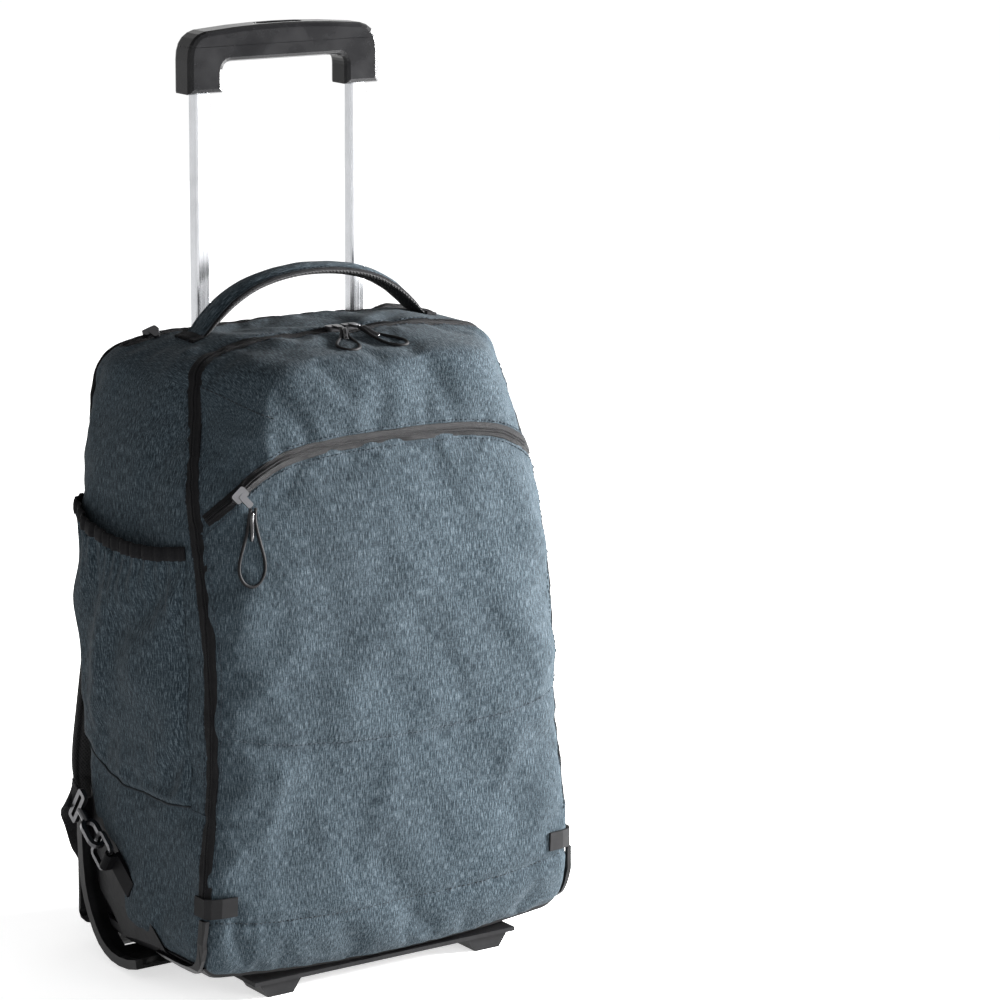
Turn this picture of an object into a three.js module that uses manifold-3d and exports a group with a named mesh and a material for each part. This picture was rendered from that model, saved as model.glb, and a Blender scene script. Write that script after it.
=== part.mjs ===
// A wheeled backpack standing upright on two wheels and two feet, its pull handle drawn out.
// Units are millimetres. +X is the right side seen from the front, -Y the front, +Z up, z = 0 the floor.
// Main forms: a hollow cloth box sewn from panels that share one outer surface, a hard base with
// wheel housings, a telescopic handle inside the back, and two padded shoulder straps.

import * as THREE from 'three';
import Module from 'manifold-3d';
import { mergeVertices } from 'three/addons/utils/BufferGeometryUtils.js';

// Bag
const BAG_WIDTH = 356;
const BAG_DEPTH = 188;
const BAG_HEIGHT = 503;
const BASE_LIFT = 28;
const CLOTH = 2;
const BACK_PADDING = 5;
const BOARD = 3;
const VINYL = 1.2;
const BACK_CORNER_RADIUS = 14;
const CORNER_REACH = 22;
const ZIP_TO_CORNER = 6;
const TOP_ROUND = 12;
const BASE_ROUND = 8;
const TOP_SIDE_DROP = 18;
const TOP_FRONT_DROP = 12;
const BASE_SAG = 12;
const REAR_TUCK = 36;
const REAR_TUCK_TOP = 95;
const REAR_TUCK_SPAN = 80;
const SEAM_GAP = 0.3;

// Zips
const MAIN_ZIP_WIDTH = 14;
const POCKET_ZIP_WIDTH = 14;
const BACK_ZIP_WIDTH = 14;
const BACK_ZIP_REACH = 150;
const BACK_ZIP_LIP = 6;
const BACK_ZIP_TAPER = 14;
const ZIP_PROUD = 1.2;
const ZIP_END_TAB = 16;
const SLIDER_LENGTH = 13;
const SLIDER_WIDTH = 9;
const SLIDER_HEIGHT = 4;
const SLIDER_SPACING = 13;
const SLIDER_SEAT = 0.1;
const BACK_SLIDER_SEAT = 0.9;
const PULL_CORD = 2.6;
const MAIN_PULL_LENGTH = 47;
const POCKET_PULL_LENGTH = 62;

// Panels on the back
const LOWER_PANEL_TOP = 145;
const BACK_PANEL_TOP = 514;
const BACK_PANEL_HALF = 165;
const BACK_PANEL_RADIUS = 35;
const BACK_SEAM_INSET = 9;
const FRONT_SEAM = -0.97;
const STRAP_BAND_TOP = 483;
const STRAP_BAND_HEIGHT = 12;

// Side pockets
const POCKET_WALL = 1.6;
const POCKET_BULGE = 15;
const BINDING_HEIGHT = 12;
const BINDING_WALL = 2.6;

// Carry handle
const CARRY_SPAN = 236;
const CARRY_RISE = 46;
const CARRY_WIDTH = 30;
const CARRY_THICKNESS = 11;
const CARRY_Y = 25;
const UNDERSIDE_THICKNESS = 1.6;

// Shoulder straps
const STRAP_WIDTH = 78;
const STRAP_THICKNESS = 14;
const STRAP_SPREAD = 86;
const STRAP_DROP = 371;
const STRAP_STAND_OFF = 51;
const STRAP_SPLAY_LEFT = 46;
const STRAP_SPLAY_RIGHT = 92;
const WEBBING_WIDTH = 25;
const WEBBING_THICKNESS = 1.6;
const LOCK_LENGTH = 24;
const LOCK_THICKNESS = 5;
const LOCK_BAR = 4;

// Rings and hooks
const RING_WIRE = 3.6;
const RING_WIDTH = 30;
const RING_HEIGHT = 24;
const RING_CORNER = 6;
const HOOK_WIRE = 4;
const HOOK_LENGTH = 30;
const HOOK_WIDTH = 16;
const SWIVEL_LENGTH = 12;
const RING_TAB_LENGTH = 34;

// Wheels and base
const WHEEL_DIAMETER = 66;
const WHEEL_TRACK = 294;
const WHEEL_Y = 94;
const TYRE_WIDTH = 24;
const TYRE_THICKNESS = 7;
const HUB_WIDTH = 22;
const AXLE_DIAMETER = 6;
const AXLE_HEAD = 11;
const AXLE_HEAD_THICKNESS = 1.6;
const RUNNING_CLEARANCE = 0.3;
const WELL_SIDE_CLEARANCE = 4;
const WELL_CLEARANCE = 6;
const HOUSING_WALL = 2.5;
const HOUSING_INNER = 108;
const HOUSING_OUTER = 183;
const HOUSING_TOP = 132;
const RIM_WIDTH = 6.5;
const RIM_THICKNESS = 8;
const FOOT_SPREAD = 102;
const FOOT_Y = -75;
const FOOT_TOP_LENGTH = 44;
const FOOT_TIP_LENGTH = 24;
const SKID_LENGTH = 256;
const SKID_DEPTH = 40;
const SKID_THICKNESS = 3.5;
const GRIP_PAD_WIDTH = 96;
const GRIP_PAD_HEIGHT = 24;
const GRIP_PAD_THICKNESS = 5;
const GRIP_PAD_RIBS = 7;

// Pull handle
const TUBE_SPACING = 150;
const TROLLEY_Y = 70;
const INNER_TUBE_WIDTH = 14;
const INNER_TUBE_DEPTH = 12;
const TUBE_WALL = 1;
const TUBE_CLEARANCE = 0.3;
const OUTER_TUBE_BOTTOM = 62;
const OUTER_TUBE_TOP = 452;
const INNER_TUBE_BOTTOM = 320;
const SOCKET_WALL = 4;
const BRACE_HEIGHT = 16;
const GRIP_TOP = 770;
const GRIP_LEG_LENGTH = 54;
const GRIP_BAR_HEIGHT = 29;
const GRIP_LEG_WIDTH = 32;
const GRIP_DEPTH = 26;
const GRIP_CORNER = 24;
const GRIP_CROWN = 3;
const GRIP_CAP_HEIGHT = 16;
const GRIP_EDGE = 4;
const TUBE_SEAT = 22;
const BUTTON_LENGTH = 44;
const BUTTON_WIDTH = 12;
const BUTTON_HEIGHT = 7;
const BUTTON_TRAVEL = 3;
const BUTTON_SINK = 1;
const MOUTH_CLEARANCE = 2;

const HALF_WIDTH = BAG_WIDTH / 2;
const HALF_DEPTH = BAG_DEPTH / 2;
const BAG_TOP = BASE_LIFT + BAG_HEIGHT;
const OUTER_TUBE_WIDTH = INNER_TUBE_WIDTH + 2 * (TUBE_CLEARANCE + TUBE_WALL);
const OUTER_TUBE_DEPTH = INNER_TUBE_DEPTH + 2 * (TUBE_CLEARANCE + TUBE_WALL);
const GRIP_HALF = TUBE_SPACING / 2 + GRIP_LEG_WIDTH / 2;
const GRIP_PARTING = GRIP_TOP - GRIP_CAP_HEIGHT;
const GRIP_LEG_BOTTOM = GRIP_TOP - GRIP_LEG_LENGTH;
const MOUTH_HALF = GRIP_HALF + MOUTH_CLEARANCE;
const MOUTH_FRONT = TROLLEY_Y - GRIP_DEPTH / 2 - MOUTH_CLEARANCE;
const MOUTH_BACK = TROLLEY_Y + GRIP_DEPTH / 2 + MOUTH_CLEARANCE;
const WHEEL_RADIUS = WHEEL_DIAMETER / 2;
const FAR = 500;
const SMALLEST_DETAIL = 0.2;
const CROWN_FROM = BAG_TOP - BAG_HEIGHT / 5;

// Horizontal sections of the bag. up: share of BAG_HEIGHT. back, zip and corner: half widths at the back,
// at the main zip and at the front corner, shares of HALF_WIDTH. cornerFront and midFront: how far forward
// the corner and the middle reach, shares of HALF_DEPTH. lean: slump towards -X, share of HALF_WIDTH.
const SECTIONS = [
  { up: 0.000, back: 0.970, zip: 0.980, corner: 0.975, cornerFront: 1.06, midFront: 1.09, lean: 0.000 },
  { up: 0.064, back: 0.975, zip: 0.995, corner: 0.995, cornerFront: 1.12, midFront: 1.15, lean: 0.000 },
  { up: 0.165, back: 0.980, zip: 0.985, corner: 0.985, cornerFront: 1.14, midFront: 1.18, lean: 0.000 },
  { up: 0.262, back: 0.985, zip: 0.950, corner: 0.950, cornerFront: 1.16, midFront: 1.21, lean: 0.005 },
  { up: 0.326, back: 0.990, zip: 0.928, corner: 0.928, cornerFront: 1.17, midFront: 1.24, lean: 0.015 },
  { up: 0.396, back: 1.000, zip: 0.922, corner: 0.912, cornerFront: 1.20, midFront: 1.27, lean: 0.022 },
  { up: 0.463, back: 1.000, zip: 0.920, corner: 0.902, cornerFront: 1.21, midFront: 1.28, lean: 0.027 },
  { up: 0.594, back: 0.990, zip: 0.920, corner: 0.880, cornerFront: 1.19, midFront: 1.27, lean: 0.036 },
  { up: 0.720, back: 0.980, zip: 0.912, corner: 0.845, cornerFront: 1.13, midFront: 1.22, lean: 0.045 },
  { up: 0.781, back: 0.960, zip: 0.900, corner: 0.815, cornerFront: 1.09, midFront: 1.17, lean: 0.048 },
  { up: 0.841, back: 0.945, zip: 0.880, corner: 0.760, cornerFront: 1.07, midFront: 1.13, lean: 0.042 },
  { up: 0.903, back: 0.930, zip: 0.855, corner: 0.700, cornerFront: 1.06, midFront: 1.10, lean: 0.034 },
  { up: 0.976, back: 0.905, zip: 0.820, corner: 0.630, cornerFront: 1.05, midFront: 1.07, lean: 0.025 },
];

// Main zip seen from the side. up: share of BAG_HEIGHT. depth: share of HALF_DEPTH, front negative.
const MAIN_ZIP_LINE = [
  { up: 0.113, depth: -1.030 },
  { up: 0.195, depth: -1.045 },
  { up: 0.260, depth: -1.020 },
  { up: 0.326, depth: -1.010 },
  { up: 0.396, depth: -1.064 },
  { up: 0.463, depth: -1.085 },
  { up: 0.530, depth: -1.055 },
  { up: 0.594, depth: -1.020 },
  { up: 0.658, depth: -0.950 },
  { up: 0.720, depth: -0.870 },
  { up: 0.781, depth: -0.766 },
  { up: 0.841, depth: -0.628 },
  { up: 0.903, depth: -0.500 },
  { up: 0.955, depth: -0.400 },
  { up: 0.990, depth: -0.300 },
  { up: 1.060, depth: -0.160 },
];

// Front pocket zip seen from the front, right half. side: share of HALF_WIDTH. up: share of BAG_HEIGHT.
const POCKET_ZIP_LINE = [
  { side: 0.000, up: 0.849 },
  { side: 0.390, up: 0.845 },
  { side: 0.590, up: 0.833 },
  { side: 0.725, up: 0.809 },
  { side: 0.820, up: 0.782 },
  { side: 1.150, up: 0.660 },
];

// Side pocket seen from the side. depth: share of HALF_DEPTH. top and bottom: shares of BAG_HEIGHT.
const SIDE_POCKET = [
  { depth: 0.950, top: 0.725, bottom: 0.322 },
  { depth: 0.510, top: 0.706, bottom: 0.280 },
  { depth: 0.160, top: 0.696, bottom: 0.268 },
  { depth: -0.200, top: 0.693, bottom: 0.268 },
  { depth: -0.500, top: 0.692, bottom: 0.270 },
  { depth: -0.780, top: 0.697, bottom: 0.275 },
];

// Black band across the lower side. depth: share of HALF_DEPTH. top and bottom: shares of BAG_HEIGHT.
const SIDE_BAND = [
  { depth: 0.960, top: 0.230, bottom: 0.075 },
  { depth: 0.460, top: 0.157, bottom: 0.022 },
  { depth: 0.080, top: 0.092, bottom: -0.060 },
  { depth: -0.480, top: 0.000, bottom: -0.060 },
];

// Moulded rim round the lower rear corner. depth: share of HALF_DEPTH. height: share of HOUSING_TOP.
const HOUSING_RIM = [
  { depth: 1.000, height: 0.900 },
  { depth: 1.000, height: 0.720 },
  { depth: 0.960, height: 0.490 },
  { depth: 0.900, height: 0.360 },
  { depth: 0.810, height: 0.250 },
  { depth: 0.690, height: 0.150 },
  { depth: 0.560, height: 0.095 },
  { depth: 0.420, height: 0.070 },
  { depth: 0.220, height: 0.070 },
  { depth: 0.020, height: 0.105 },
];

// Edge rim round the lower front corner. depth: share of HALF_DEPTH. up: share of BAG_HEIGHT.
const CORNER_RIM = [
  { depth: -0.20, up: 0.000 },
  { depth: -0.60, up: 0.000 },
  { depth: -0.90, up: 0.012 },
  { depth: -1.03, up: 0.045 },
  { depth: -1.07, up: 0.103 },
];

// Shoulder strap from root to tip. drop, splay and stand: shares of STRAP_DROP, of the side's splay and of
// STRAP_STAND_OFF. width and pad: shares of STRAP_WIDTH and STRAP_THICKNESS.
const STRAP_SHAPE = [
  { drop: 0.00, splay: 0.00, stand: 0.00, width: 1.00, pad: 0.70 },
  { drop: 0.10, splay: 0.18, stand: 0.16, width: 1.00, pad: 1.00 },
  { drop: 0.22, splay: 0.36, stand: 0.34, width: 0.98, pad: 1.00 },
  { drop: 0.39, splay: 0.50, stand: 0.57, width: 0.95, pad: 1.00 },
  { drop: 0.55, splay: 0.61, stand: 0.68, width: 0.94, pad: 1.00 },
  { drop: 0.73, splay: 0.76, stand: 0.80, width: 0.91, pad: 1.00 },
  { drop: 0.88, splay: 0.89, stand: 0.92, width: 0.84, pad: 0.95 },
  { drop: 0.96, splay: 0.96, stand: 0.97, width: 0.66, pad: 0.80 },
  { drop: 1.00, splay: 1.00, stand: 1.00, width: 0.44, pad: 0.55 },
];

const COLOURS = {
  cloth: [0x50687a, 0.92, 0],
  vinyl: [0x17181a, 0.55, 0],
  zip: [0x121214, 0.7, 0],
  plastic: [0x151617, 0.42, 0],
  gloss: [0x0c0c0e, 0.2, 0],
  rubber: [0x18191a, 0.85, 0],
  webbing: [0x101012, 0.8, 0],
  metal: [0x3a3a3e, 0.35, 0.9],
  steel: [0xa0a2a5, 0.3, 0.9],
  aluminium: [0xd3d5d8, 0.3, 0.85],
};

const wasm = await Module();
wasm.setup();

const bag = new THREE.Group();
const handle = new THREE.Group();
const backpack = new THREE.Group();
backpack.add(bag, handle);

function addMesh(group, name, geometry, look) {
  const [color, roughness, metalness] = COLOURS[look];
  const material = new THREE.MeshStandardMaterial({ color, roughness, metalness });
  const mesh = new THREE.Mesh(geometry, material);
  mesh.name = name;
  group.add(mesh);
}

// Solids and booleans

function solidOf(geometry) {
  const bare = geometry.clone();
  bare.deleteAttribute('normal');
  bare.deleteAttribute('uv');
  const merged = mergeVertices(bare, 1e-4);
  return new wasm.Manifold(new wasm.Mesh({
    numProp: 3,
    vertProperties: new Float32Array(merged.attributes.position.array),
    triVerts: new Uint32Array(merged.index.array),
  }));
}

function geometryOf(solid) {
  const mesh = solid.getMesh();
  const geometry = new THREE.BufferGeometry();
  geometry.setAttribute('position', new THREE.BufferAttribute(new Float32Array(mesh.vertProperties), 3));
  geometry.setIndex(new THREE.BufferAttribute(new Uint32Array(mesh.triVerts), 1));
  return geometry;
}

function addSolid(group, name, solid, look) {
  addMesh(group, name, geometryOf(solid.simplify(SMALLEST_DETAIL)), look);
}

function joined(solids) {
  return solids.reduce((sum, next) => sum.add(next));
}

// A closed body through rings of equal length, its ends closed by fans round each end ring's middle.
function loft(rings) {
  const size = rings[0].length;
  const points = rings.flat();
  const index = [];
  for (let row = 0; row + 1 < rings.length; row += 1) {
    for (let k = 0; k < size; k += 1) {
      const next = (k + 1) % size;
      const a = row * size + k;
      const b = row * size + next;
      index.push(a, b, b + size, a, b + size, a + size);
    }
  }
  for (const row of [0, rings.length - 1]) {
    const middle = new THREE.Vector3();
    rings[row].forEach((point) => middle.addScaledVector(point, 1 / size));
    points.push(middle);
    for (let k = 0; k < size; k += 1) {
      const a = row * size + k;
      const b = row * size + (k + 1) % size;
      index.push(...(row === 0 ? [b, a, points.length - 1] : [a, b, points.length - 1]));
    }
  }
  const geometry = new THREE.BufferGeometry().setFromPoints(points);
  geometry.setIndex(index);
  return volumeOf(points, index) < 0 ? flipped(geometry) : geometry;
}

function volumeOf(points, index) {
  let sum = 0;
  const cross = new THREE.Vector3();
  for (let k = 0; k < index.length; k += 3) {
    cross.crossVectors(points[index[k + 1]], points[index[k + 2]]);
    sum += points[index[k]].dot(cross) / 6;
  }
  return sum;
}

function flipped(geometry) {
  const index = geometry.index.array;
  for (let k = 0; k < index.length; k += 3) {
    [index[k], index[k + 1]] = [index[k + 1], index[k]];
  }
  return geometry;
}

// Prisms of an outline: along X the outline is (y, z), along Y it is (x, z), along Z it is (x, y).

function prism(outline, axis, from, to, holes = []) {
  const shape = new THREE.Shape(outline);
  shape.holes = holes.map((hole) => new THREE.Path(hole));
  const geometry = new THREE.ExtrudeGeometry(shape, {
    depth: to - from,
    bevelEnabled: false,
    curveSegments: 8,
  });
  const [x, y, z] = [new THREE.Vector3(1, 0, 0), new THREE.Vector3(0, 1, 0), new THREE.Vector3(0, 0, 1)];
  const turn = new THREE.Matrix4();
  if (axis === 'x') {
    turn.makeBasis(y, z, x);
    turn.setPosition(from, 0, 0);
  } else if (axis === 'y') {
    turn.makeBasis(x, z, y.clone().negate());
    turn.setPosition(0, to, 0);
  } else {
    turn.makeBasis(x, y, z);
    turn.setPosition(0, 0, from);
  }
  return geometry.applyMatrix4(turn);
}

function prismSolid(outline, axis, from, to, holes) {
  return solidOf(prism(outline, axis, from, to, holes));
}

function box(low, high) {
  const size = high.map((value, k) => value - low[k]);
  const geometry = new THREE.BoxGeometry(...size);
  geometry.translate(...low.map((value, k) => value + size[k] / 2));
  return solidOf(geometry);
}

function roundedOutline(halfWidth, halfHeight, radius, segments = 4, centre = [0, 0]) {
  const points = [];
  const corners = [[1, 1, 0], [-1, 1, 90], [-1, -1, 180], [1, -1, 270]];
  for (const [sx, sy, start] of corners) {
    for (let k = 0; k <= segments; k += 1) {
      const angle = THREE.MathUtils.degToRad(start + (90 * k) / segments);
      const x = sx * (halfWidth - radius) + radius * Math.cos(angle);
      const y = sy * (halfHeight - radius) + radius * Math.sin(angle);
      points.push(new THREE.Vector2(centre[0] + x, centre[1] + y));
    }
  }
  return points;
}

// A line widened into a closed outline, by half on either side.
function bandOutline(line, width) {
  const normals = line.map((point, k) => {
    const before = line[Math.max(k - 1, 0)];
    const after = line[Math.min(k + 1, line.length - 1)];
    return new THREE.Vector2(before.y - after.y, after.x - before.x).normalize();
  });
  const side = (amount) => line.map((point, k) => point.clone().addScaledVector(normals[k], amount));
  return [...side(width / 2), ...side(-width / 2).reverse()];
}

// Outer surface of the bag

function smooth(value) {
  const t = THREE.MathUtils.clamp(value, 0, 1);
  return t * t * (3 - 2 * t);
}

function heightOf(up) {
  return BASE_LIFT + up * BAG_HEIGHT;
}

function splineLine(points, samples) {
  return new THREE.SplineCurve(points).getPoints(samples);
}

const mainZipLine = splineLine(
  MAIN_ZIP_LINE.map((row) => new THREE.Vector2(row.depth * HALF_DEPTH, heightOf(row.up))),
  18,
);

function mainZipY(z) {
  const above = mainZipLine.findIndex((point) => point.y > z);
  if (above < 1) {
    return mainZipLine[above < 0 ? mainZipLine.length - 1 : 0].x;
  }
  const low = mainZipLine[above - 1];
  const high = mainZipLine[above];
  return THREE.MathUtils.lerp(low.x, high.x, (z - low.y) / (high.y - low.y));
}

// How far the crown falls towards its sides and its front.
function crownDrop(x, y) {
  const side = TOP_SIDE_DROP * Math.abs(x / HALF_WIDTH / 0.83) ** 4;
  const front = TOP_FRONT_DROP * Math.max(0, (-0.22 * HALF_DEPTH - y) / (0.85 * HALF_DEPTH));
  return Math.min(side, TOP_SIDE_DROP * 1.3) + front;
}

// How far the underside hangs below the base line, at the middle of the front and over the wheel housings.
function baseSag(x, y) {
  const front = (1 - (x / HALF_WIDTH) ** 2) * smooth((-0.2 * HALF_DEPTH - y) / (0.7 * HALF_DEPTH));
  const sides = smooth((Math.abs(x) / HALF_WIDTH - 0.6) / 0.3);
  const rear = sides * smooth((0.9 * HALF_DEPTH - y) / (0.5 * HALF_DEPTH)) * smooth(y / HALF_DEPTH + 0.2);
  return BASE_SAG * Math.max(0, front, rear);
}

// The back's depth at a height: it curves forward towards the underside.
function rearY(z) {
  const below = THREE.MathUtils.clamp((REAR_TUCK_TOP - z) / REAR_TUCK_SPAN, 0, 1);
  return HALF_DEPTH - REAR_TUCK * below ** 2;
}

// One side of a section, from the middle of the back to the middle of the front.
function halfSection(row, z, inset) {
  const back = row.back * HALF_WIDTH - inset;
  const backY = rearY(z) - inset;
  const radius = BACK_CORNER_RADIUS;
  const corner = new THREE.Vector2(row.corner * HALF_WIDTH - inset, inset - row.cornerFront * HALF_DEPTH);
  const zip = new THREE.Vector2(row.zip * HALF_WIDTH - inset, Math.max(mainZipY(z), corner.y + ZIP_TO_CORNER));
  const front = new THREE.Vector2(0, inset - row.midFront * HALF_DEPTH);
  const round = new THREE.Vector2(corner.x - CORNER_REACH, corner.y - 0.25 * (corner.y - front.y));
  const turn = zip.clone().lerp(corner, 0.35);
  const sideBulge = new THREE.Vector2(Math.max(back, zip.x) + 4, 0.1 * HALF_DEPTH);
  const start = new THREE.Vector2(back, backY - radius);
  const pieces = [
    [new THREE.LineCurve(new THREE.Vector2(0, backY), new THREE.Vector2(back - radius, backY)), 2],
    [new THREE.QuadraticBezierCurve(new THREE.Vector2(back - radius, backY),
      new THREE.Vector2(back, backY), start), 2],
    [new THREE.QuadraticBezierCurve(start, sideBulge, zip), 5],
    [new THREE.LineCurve(zip, turn), 1],
    [new THREE.QuadraticBezierCurve(turn, corner, round), 3],
    [new THREE.QuadraticBezierCurve(round, new THREE.Vector2(corner.x * 0.5, front.y), front), 4],
  ];
  return pieces.flatMap(([curve, count]) => curve.getPoints(count).slice(0, -1)).concat([front]);
}

function sectionRing(row, z, inset) {
  const half = halfSection(row, z, inset);
  const lean = row.lean * HALF_WIDTH;
  const other = half.slice(1, -1).reverse().map((point) => new THREE.Vector2(-point.x, point.y));
  return half.concat(other).map((point) => new THREE.Vector3(point.x - lean, point.y, z));
}

function scaledRing(ring, share) {
  const middle = new THREE.Vector3(0, 0, ring[0].z);
  return ring.map((point) => middle.clone().lerp(point, share));
}

function bagRings() {
  const first = SECTIONS[0];
  const last = SECTIONS[SECTIONS.length - 1];
  const rings = [];
  const floor = sectionRing(first, BASE_LIFT, BASE_ROUND);
  rings.push(scaledRing(floor, 0.6), floor);
  rings.push(sectionRing(first, BASE_LIFT + BASE_ROUND, 0));
  SECTIONS.slice(1).forEach((row) => rings.push(sectionRing(row, heightOf(row.up), 0)));
  for (const angle of [45, 90]) {
    const turn = THREE.MathUtils.degToRad(angle);
    const z = BAG_TOP - TOP_ROUND * (1 - Math.sin(turn));
    rings.push(sectionRing(last, z, TOP_ROUND * (1 - Math.cos(turn))));
  }
  const top = rings[rings.length - 1];
  rings.push(scaledRing(top, 0.6));
  for (const point of rings.flat()) {
    const high = smooth((point.z - heightOf(0.76)) / (0.24 * BAG_HEIGHT));
    const low = smooth((heightOf(0.16) - point.z) / (0.16 * BAG_HEIGHT));
    point.z -= crownDrop(point.x, point.y) * high + baseSag(point.x, point.y) * low;
  }
  return rings;
}

const bagSurface = loft(bagRings());
bagSurface.computeVertexNormals();

// The bag as a solid, its surface moved out by an amount that may vary from place to place.
function bagSolid(offset) {
  const geometry = bagSurface.clone();
  const position = geometry.attributes.position;
  const normal = geometry.attributes.normal;
  for (let k = 0; k < position.count; k += 1) {
    const point = new THREE.Vector3().fromBufferAttribute(position, k);
    const away = new THREE.Vector3().fromBufferAttribute(normal, k);
    const amount = typeof offset === 'function' ? offset(point) : offset;
    point.addScaledVector(away, amount);
    position.setXYZ(k, point.x, point.y, point.z);
  }
  return solidOf(geometry);
}

// A sheet that follows the bag's surface between two offsets, kept inside a mask.
function sheet(inner, outer, mask) {
  return bagSolid(outer).intersect(mask).subtract(bagSolid(inner));
}

// Masks that cut the surface along its seams

const mainZipBand = (width) => prismSolid(bandOutline(mainZipLine, width), 'x', -FAR, FAR);
const zipFoot = mainZipLine[0];

// Everything in front of a line beside the main zip, ahead of it by an amount, and of the seam below its foot.
function frontMask(ahead, seamShift) {
  const edge = bandOutline(mainZipLine, 2 * ahead).slice(0, mainZipLine.length);
  const seamY = FRONT_SEAM * HALF_DEPTH + seamShift;
  const outline = [
    new THREE.Vector2(seamY, -FAR),
    new THREE.Vector2(seamY, BASE_LIFT),
    new THREE.Vector2(zipFoot.x + seamShift, zipFoot.y - 2),
    ...edge,
    new THREE.Vector2(edge[edge.length - 1].x, FAR * 2),
    new THREE.Vector2(-FAR, FAR * 2),
    new THREE.Vector2(-FAR, -FAR),
  ];
  return prismSolid(outline, 'x', -FAR, FAR);
}

const backPanelOutline = (grow) => {
  const half = BACK_PANEL_HALF + grow;
  const radius = BACK_PANEL_RADIUS;
  const top = BACK_PANEL_TOP + grow;
  const points = [new THREE.Vector2(half, -FAR)];
  for (let k = 0; k <= 5; k += 1) {
    const angle = (Math.PI / 2) * (k / 5);
    points.push(new THREE.Vector2(
      half - radius + radius * Math.cos(angle),
      top - radius + radius * Math.sin(angle),
    ));
  }
  return points.concat(points.slice().reverse().map((point) => new THREE.Vector2(-point.x, point.y)));
};

// Everything behind the seam that runs inside the back corners.
function backRegion(grow) {
  const edge = [];
  for (let k = 0; k <= 8; k += 1) {
    const z = THREE.MathUtils.lerp(BASE_LIFT - BASE_SAG, REAR_TUCK_TOP, k / 8);
    edge.push(new THREE.Vector2(rearY(z) - BACK_SEAM_INSET - grow, z));
  }
  const behind = [
    new THREE.Vector2(edge[0].x, -FAR),
    ...edge,
    new THREE.Vector2(edge[edge.length - 1].x, 2 * FAR),
    new THREE.Vector2(FAR, 2 * FAR),
    new THREE.Vector2(FAR, -FAR),
  ];
  return prismSolid(behind, 'x', -FAR, FAR).intersect(prismSolid(backPanelOutline(grow), 'y', -FAR, FAR));
}

const below = (z) => box([-FAR, -FAR, -FAR], [FAR, FAR, z]);
const above = (z) => box([-FAR, -FAR, z], [FAR, FAR, 2 * FAR]);

const wellHalf = TYRE_WIDTH / 2 + WELL_SIDE_CLEARANCE;
const wellFront = WHEEL_Y - WHEEL_RADIUS - WELL_CLEARANCE;
const wellTop = WHEEL_DIAMETER + WELL_CLEARANCE;

function wheelWell(side, grow) {
  const middle = (side * WHEEL_TRACK) / 2;
  return box(
    [middle - wellHalf - grow, wellFront - grow, -FAR],
    [middle + wellHalf + grow, FAR, wellTop + grow],
  );
}

const wellCut = joined([-1, 1].map((side) => wheelWell(side, HOUSING_WALL + SEAM_GAP)));

// Cloth panels

const BACK_ZIP_FRONT = MOUTH_FRONT - BACK_ZIP_LIP;
const BACK_ZIP_BACK = MOUTH_BACK + BACK_ZIP_LIP;

// The rear zip's outline: a closed chain at both ends that opens round the pull handle.
function backZipOutline(grow) {
  const half = BACK_ZIP_WIDTH / 2 + grow;
  const reach = BACK_ZIP_REACH + grow;
  const open = MOUTH_HALF + grow;
  const right = [
    [open, BACK_ZIP_FRONT - grow],
    [open + BACK_ZIP_TAPER, TROLLEY_Y - half],
    [reach, TROLLEY_Y - half],
    [reach, TROLLEY_Y + half],
    [open + BACK_ZIP_TAPER, TROLLEY_Y + half],
    [open, BACK_ZIP_BACK + grow],
  ].map(([x, y]) => new THREE.Vector2(x, y));
  return right.concat(right.slice().reverse().map((point) => new THREE.Vector2(-point.x, point.y)));
}

const mouth = box([-MOUTH_HALF, MOUTH_FRONT, CROWN_FROM], [MOUTH_HALF, MOUTH_BACK, 2 * FAR]);

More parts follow.
